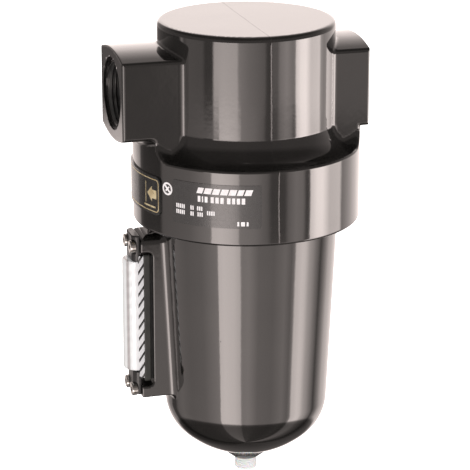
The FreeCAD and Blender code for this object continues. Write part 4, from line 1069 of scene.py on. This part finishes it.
nut_black = plain_finish(
    "nut_black", 0.008, (0.02, 0.019, 0.018), 1.0, (0.3, 0.45), 0.02,
    Coat_Weight=0.5, Coat_Roughness=0.1,
)
acetal = plain_finish(
    "white_acetal", (0.72, 0.72, 0.71), (0.84, 0.84, 0.83), 2.2, (0.3, 0.42), 0.02,
    Subsurface_Weight=0.3, Subsurface_Scale=0.004,
)
nut_lines = (
    ruler(NUT_LOW[0] - 0.37, (NUT_HIGH[0] + 0.41, 0.33)),
    ruler(NUT_LOW[1] - 0.37, (NUT_HIGH[1] + 0.43, 0.33)),
    ruler(NUT_LOW[2] - 0.33, (NUT_HIGH[2] + 0.35, 0.33)),
)
cast("drain_ring_nut", nut_shape, nut_lines, "bowl", nut_black, ["drain_nut"])
drain_lines = (
    ruler(-11.37, (11.41, 0.5)),
    ruler(-11.33, (11.43, 0.5)),
    ruler(DRAIN_LOW[2] - 0.31, (DRAIN_FLANGE_LOW - 5.03, 0.24), (DRAIN_FLANGE_TOP + 0.57, 0.5),
          (DRAIN_HIGH[2] + 0.47, 0.8)),
)
cast("drain_stub_and_tower", drain_shape, drain_lines, "bowl", acetal, ["drain_body"])


# ---- CAD pieces that stay as they are ----

def steel(name, dark, light, grain, roughness):
    return plain_finish(name, dark, light, grain, roughness, 0.01, Metallic=1.0)


black_rubber = plain_finish("black_rubber", 0.012, (0.024, 0.023, 0.022), 0.6, (0.55, 0.7), 0.02)
black_moulding = plain_finish(
    "black_moulding", 0.014, (0.026, 0.025, 0.025), 0.8, (0.4, 0.55), 0.02
)
zinc_steel = steel("zinc_steel", (0.50, 0.50, 0.49), (0.68, 0.67, 0.64), 1.2, (0.25, 0.4))
strainer_steel = steel("strainer_steel", (0.45, 0.44, 0.43), (0.62, 0.61, 0.59), 0.8, (0.28, 0.42))
spring_steel = steel("spring_steel", 0.38, (0.58, 0.57, 0.56), 0.7, (0.2, 0.35))
float_grey = plain_finish("float_grey", (0.22, 0.22, 0.21), (0.31, 0.31, 0.30), 1.6, (0.5, 0.65), 0.03)


def sintered():
    """Porous sintered plastic: pale grains with dark pores between them."""
    nodes = Nodes("porous_plastic", Specular_IOR_Level=0.3)
    grains = nodes.cells(0.55)
    pale, middle, pore = (0.76, 0.75, 0.70), (0.58, 0.56, 0.51), (0.18, 0.17, 0.15)
    tone = nodes.ramp(grains, (0.15, pale), (0.55, middle), (0.8, pore))
    gloss = nodes.ramp(nodes.noise(4.0), (0.3, 0.7), (0.7, 0.9))
    nodes.bump((grains, -0.15))
    return nodes.paint(tone, gloss)


KEPT = {
    "louvre": black_moulding, "baffle": black_moulding,
    "tie_rod": zinc_steel, "filter_element": sintered(),
    "upper_element_gasket": black_rubber, "lower_element_gasket": black_rubber, "bowl_o_ring": black_rubber,
    "lens_gasket": black_rubber, "drain_o_ring": black_rubber, "piston_seal": black_rubber,
    "drain_strainer": strainer_steel, "drain_cap": acetal, "drain_piston": acetal,
    "pilot_pin": zinc_steel, "float": float_grey, "valve_spring": spring_steel,
}
for node, material in KEPT.items():
    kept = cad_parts[node].data.materials
    if not kept:
        kept.append(material)
    for index in range(len(kept)):
        kept[index] = material


# ---- studio ----

CAMERA_AWAY, CAMERA_UP, CAMERA_ASIDE = 1224.0, 297.8, -6.0
CAMERA_TURN, CAMERA_TILT = math.radians(-16.16), math.radians(17.37)
LENS_MM, SENSOR_MM = 179.06, 36.0


def place_camera():
    data = bpy.data.cameras.new("camera")
    data.lens = LENS_MM
    data.sensor_width = SENSOR_MM
    data.clip_end = 50
    camera = bpy.data.objects.new("camera", data)
    bpy.context.scene.collection.objects.link(camera)
    aside = np.array([math.cos(CAMERA_TURN), math.sin(CAMERA_TURN), 0]) * CAMERA_ASIDE
    away = np.array([math.sin(CAMERA_TURN), -math.cos(CAMERA_TURN), 0]) * CAMERA_AWAY
    camera.location = to_row(away + aside + np.array([0, 0, CAMERA_UP]))
    camera.rotation_euler = (math.pi / 2 - CAMERA_TILT, 0, CAMERA_TURN)
    bpy.context.scene.camera = camera


FLOOR_HALF, FLOOR_DROP = 6.0, 0.012


def lay_floor():
    """White floor a little below the part, clear of the bowl as it unscrews."""
    half = FLOOR_HALF
    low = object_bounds()[0][2] - FLOOR_DROP
    mesh = bpy.data.meshes.new("floor")
    corners = [(-half, -half, low), (half, -half, low), (half, half, low), (-half, half, low)]
    mesh.from_pydata(corners, [], [(0, 1, 2, 3)])
    floor = bpy.data.objects.new("floor", mesh)
    bpy.context.scene.collection.objects.link(floor)
    nodes = Nodes("floor_paper", Roughness=0.9, Emission_Color=(1, 1, 1, 1), Emission_Strength=1.0)
    tone = nodes.ramp(nodes.noise(400.0), (0.3, 0.97), (0.7, 1.0))
    mesh.materials.append(nodes.paint(tone))
    floor.visible_glossy = False
    floor.visible_diffuse = False
    floor.visible_shadow = False


# Light of the studio by direction: strip softboxes either side of a dim front, a white wall behind.
# A stop is (degrees from the front towards the outlet, level); levels are in units of TOP_LEVEL.
# The bowl mirrors the lowest band, the collar the middle one, the neck and lugs the one above.
TOP_LEVEL = 12.0
AROUND_BOWL = (
    (-180, 1.0), (-160, 0.45), (-152, 0.5), (-147, 0.13), (-138, 0.15), (-131, 0.5), (-119, 0.75),
    (-100, 0.8), (-76, 1.08), (-57, 1.75), (-53, 1.9), (-52, 5.6), (-45, 6.0), (-32, 5.6), (-23.5, 4.6),
    (-22.3, 1.95), (-13, 2.05), (-7, 1.7), (0, 1.25), (20, 1.1), (36, 1.5), (45, 1.0), (49.5, 1.6), (52, 4.9),
    (62, 5.4), (67, 4.8), (74, 2.8), (86, 1.15), (96, 0.25), (101, 0.5), (117, 1.3), (150, 1.05),
)
AROUND_COLLAR = (
    (-180, 1.0), (-166, 1.05), (-153, 0.8), (-149, 0.2), (-142, 0.12), (-113, 0.14), (-109, 0.6),
    (-100, 0.72), (-75, 1.02), (-57, 1.7), (-52, 1.9), (-51, 5.3), (-41, 5.7), (-32, 5.1), (-24, 4.0),
    (-22.8, 2.0), (-7, 1.65), (5, 1.0), (9, 0.42), (23, 0.42), (27, 1.1), (35, 1.6), (43, 1.4), (47, 0.35),
    (50.5, 0.6), (52, 6.2), (60, 8.2), (67, 8.0), (77, 4.2), (93, 3.4), (97, 0.95), (121, 1.35),
)
AROUND_NECK = (
    (-180, 0.15), (-150, 0.12), (-112, 0.12), (-107, 1.2), (-103, 0.4), (-97, 0.65), (-74, 0.65),
    (-70, 0.28), (-60, 0.3), (-57.5, 3.9), (-45, 4.2), (-27.5, 3.9), (-26, 2.1), (-13, 1.5), (7, 1.0),
    (10, 0.45), (14, 0.33), (16.2, 0.9), (24, 0.95), (28, 1.9), (37, 2.5), (44, 1.9), (49, 1.8),
    (50.5, 6.8), (58, 9.0), (66, 8.7), (75, 5.2), (92, 4.2), (95, 1.8), (102, 1.1), (180, 0.9),
)
AROUND_HIGH = (
    (-180, 1.4), (-174, 0.4), (-150, 0.25), (-120, 0.25), (-80, 0.3), (80, 0.3), (120, 0.5), (150, 1.5),
    (180, 1.5),
)
WARM = (1.0, 0.885, 0.845)
BOWL_TO_COLLAR, COLLAR_TO_NECK, NECK_TO_SKY = (-18.5, -17.5), (-14.9, -14.5), (-12, -10.5)
FLOOR_SHADE = ((-42, 0.12), (-37, 0.2), (-33.5, 1.0))
CEILING = ((20, 1.0), (40, 0.35), (90, 0.3))
SOFT_LIGHT, SOFT_LEVEL = ((-90, 0.6), (-10, 0.7), (10, 1.0), (90, 1.0)), 1.25


def studio_light():
    """World of soft light by direction: strips in mirror rays, an even glow in the others."""
    world = bpy.data.worlds.new("studio")
    bpy.context.scene.world = world
    world.use_nodes = True
    nodes = Tree(world.node_tree)
    split = nodes.add("ShaderNodeSeparateXYZ")
    nodes.join(nodes.add("ShaderNodeTexCoord").outputs["Generated"], split.inputs[0])
    x, y, z = split.outputs
    angle = nodes.math("ARCTAN2", x, nodes.math("MULTIPLY", y, -1.0))
    turn = nodes.math("ADD", nodes.math("DIVIDE", angle, FULL_TURN), 0.5)
    rise = nodes.math("ADD", nodes.math("DIVIDE", nodes.math("ARCSINE", z), math.pi), 0.5)

    def around(stops):
        return nodes.ramp(turn, *[((degree + 180) / 360, level / TOP_LEVEL) for degree, level in stops])

    def upward(stops):
        return nodes.ramp(rise, *[((degree + 90) / 180, level) for degree, level in stops])

    def above(limits, low, high):
        """The low light below the first elevation, the high light above the second."""
        return nodes.blend(upward(zip(limits, (0.0, 1.0))), low, high)

    mirrored = nodes.math("MULTIPLY", around(AROUND_BOWL), upward(FLOOR_SHADE))
    mirrored = above(BOWL_TO_COLLAR, mirrored, around(AROUND_COLLAR))
    mirrored = above(COLLAR_TO_NECK, mirrored, around(AROUND_NECK))
    sky = nodes.math("MULTIPLY", around(AROUND_HIGH), upward(CEILING))
    mirrored = nodes.math("MULTIPLY", above(NECK_TO_SKY, mirrored, sky), TOP_LEVEL)
    soft = nodes.math("MULTIPLY", upward(SOFT_LIGHT), SOFT_LEVEL)
    path = nodes.add("ShaderNodeLightPath")
    seen = nodes.blend(path.outputs["Is Diffuse Ray"], mirrored, soft)
    seen = nodes.blend(path.outputs["Is Camera Ray"], seen, 1.0)
    background = nodes.tree.nodes["Background"]
    tint = nodes.add("ShaderNodeMix", data_type="RGBA")
    tint.inputs[6].default_value = (1, 1, 1, 1)
    tint.inputs[7].default_value = (*WARM, 1)
    nodes.join(path.outputs["Is Glossy Ray"], tint.inputs[0])
    nodes.join(tint.outputs[2], background.inputs["Color"])
    nodes.join(seen, background.inputs["Strength"])


place_camera()
lay_floor()
studio_light()
bpy.context.scene.view_settings.view_transform = "Standard"
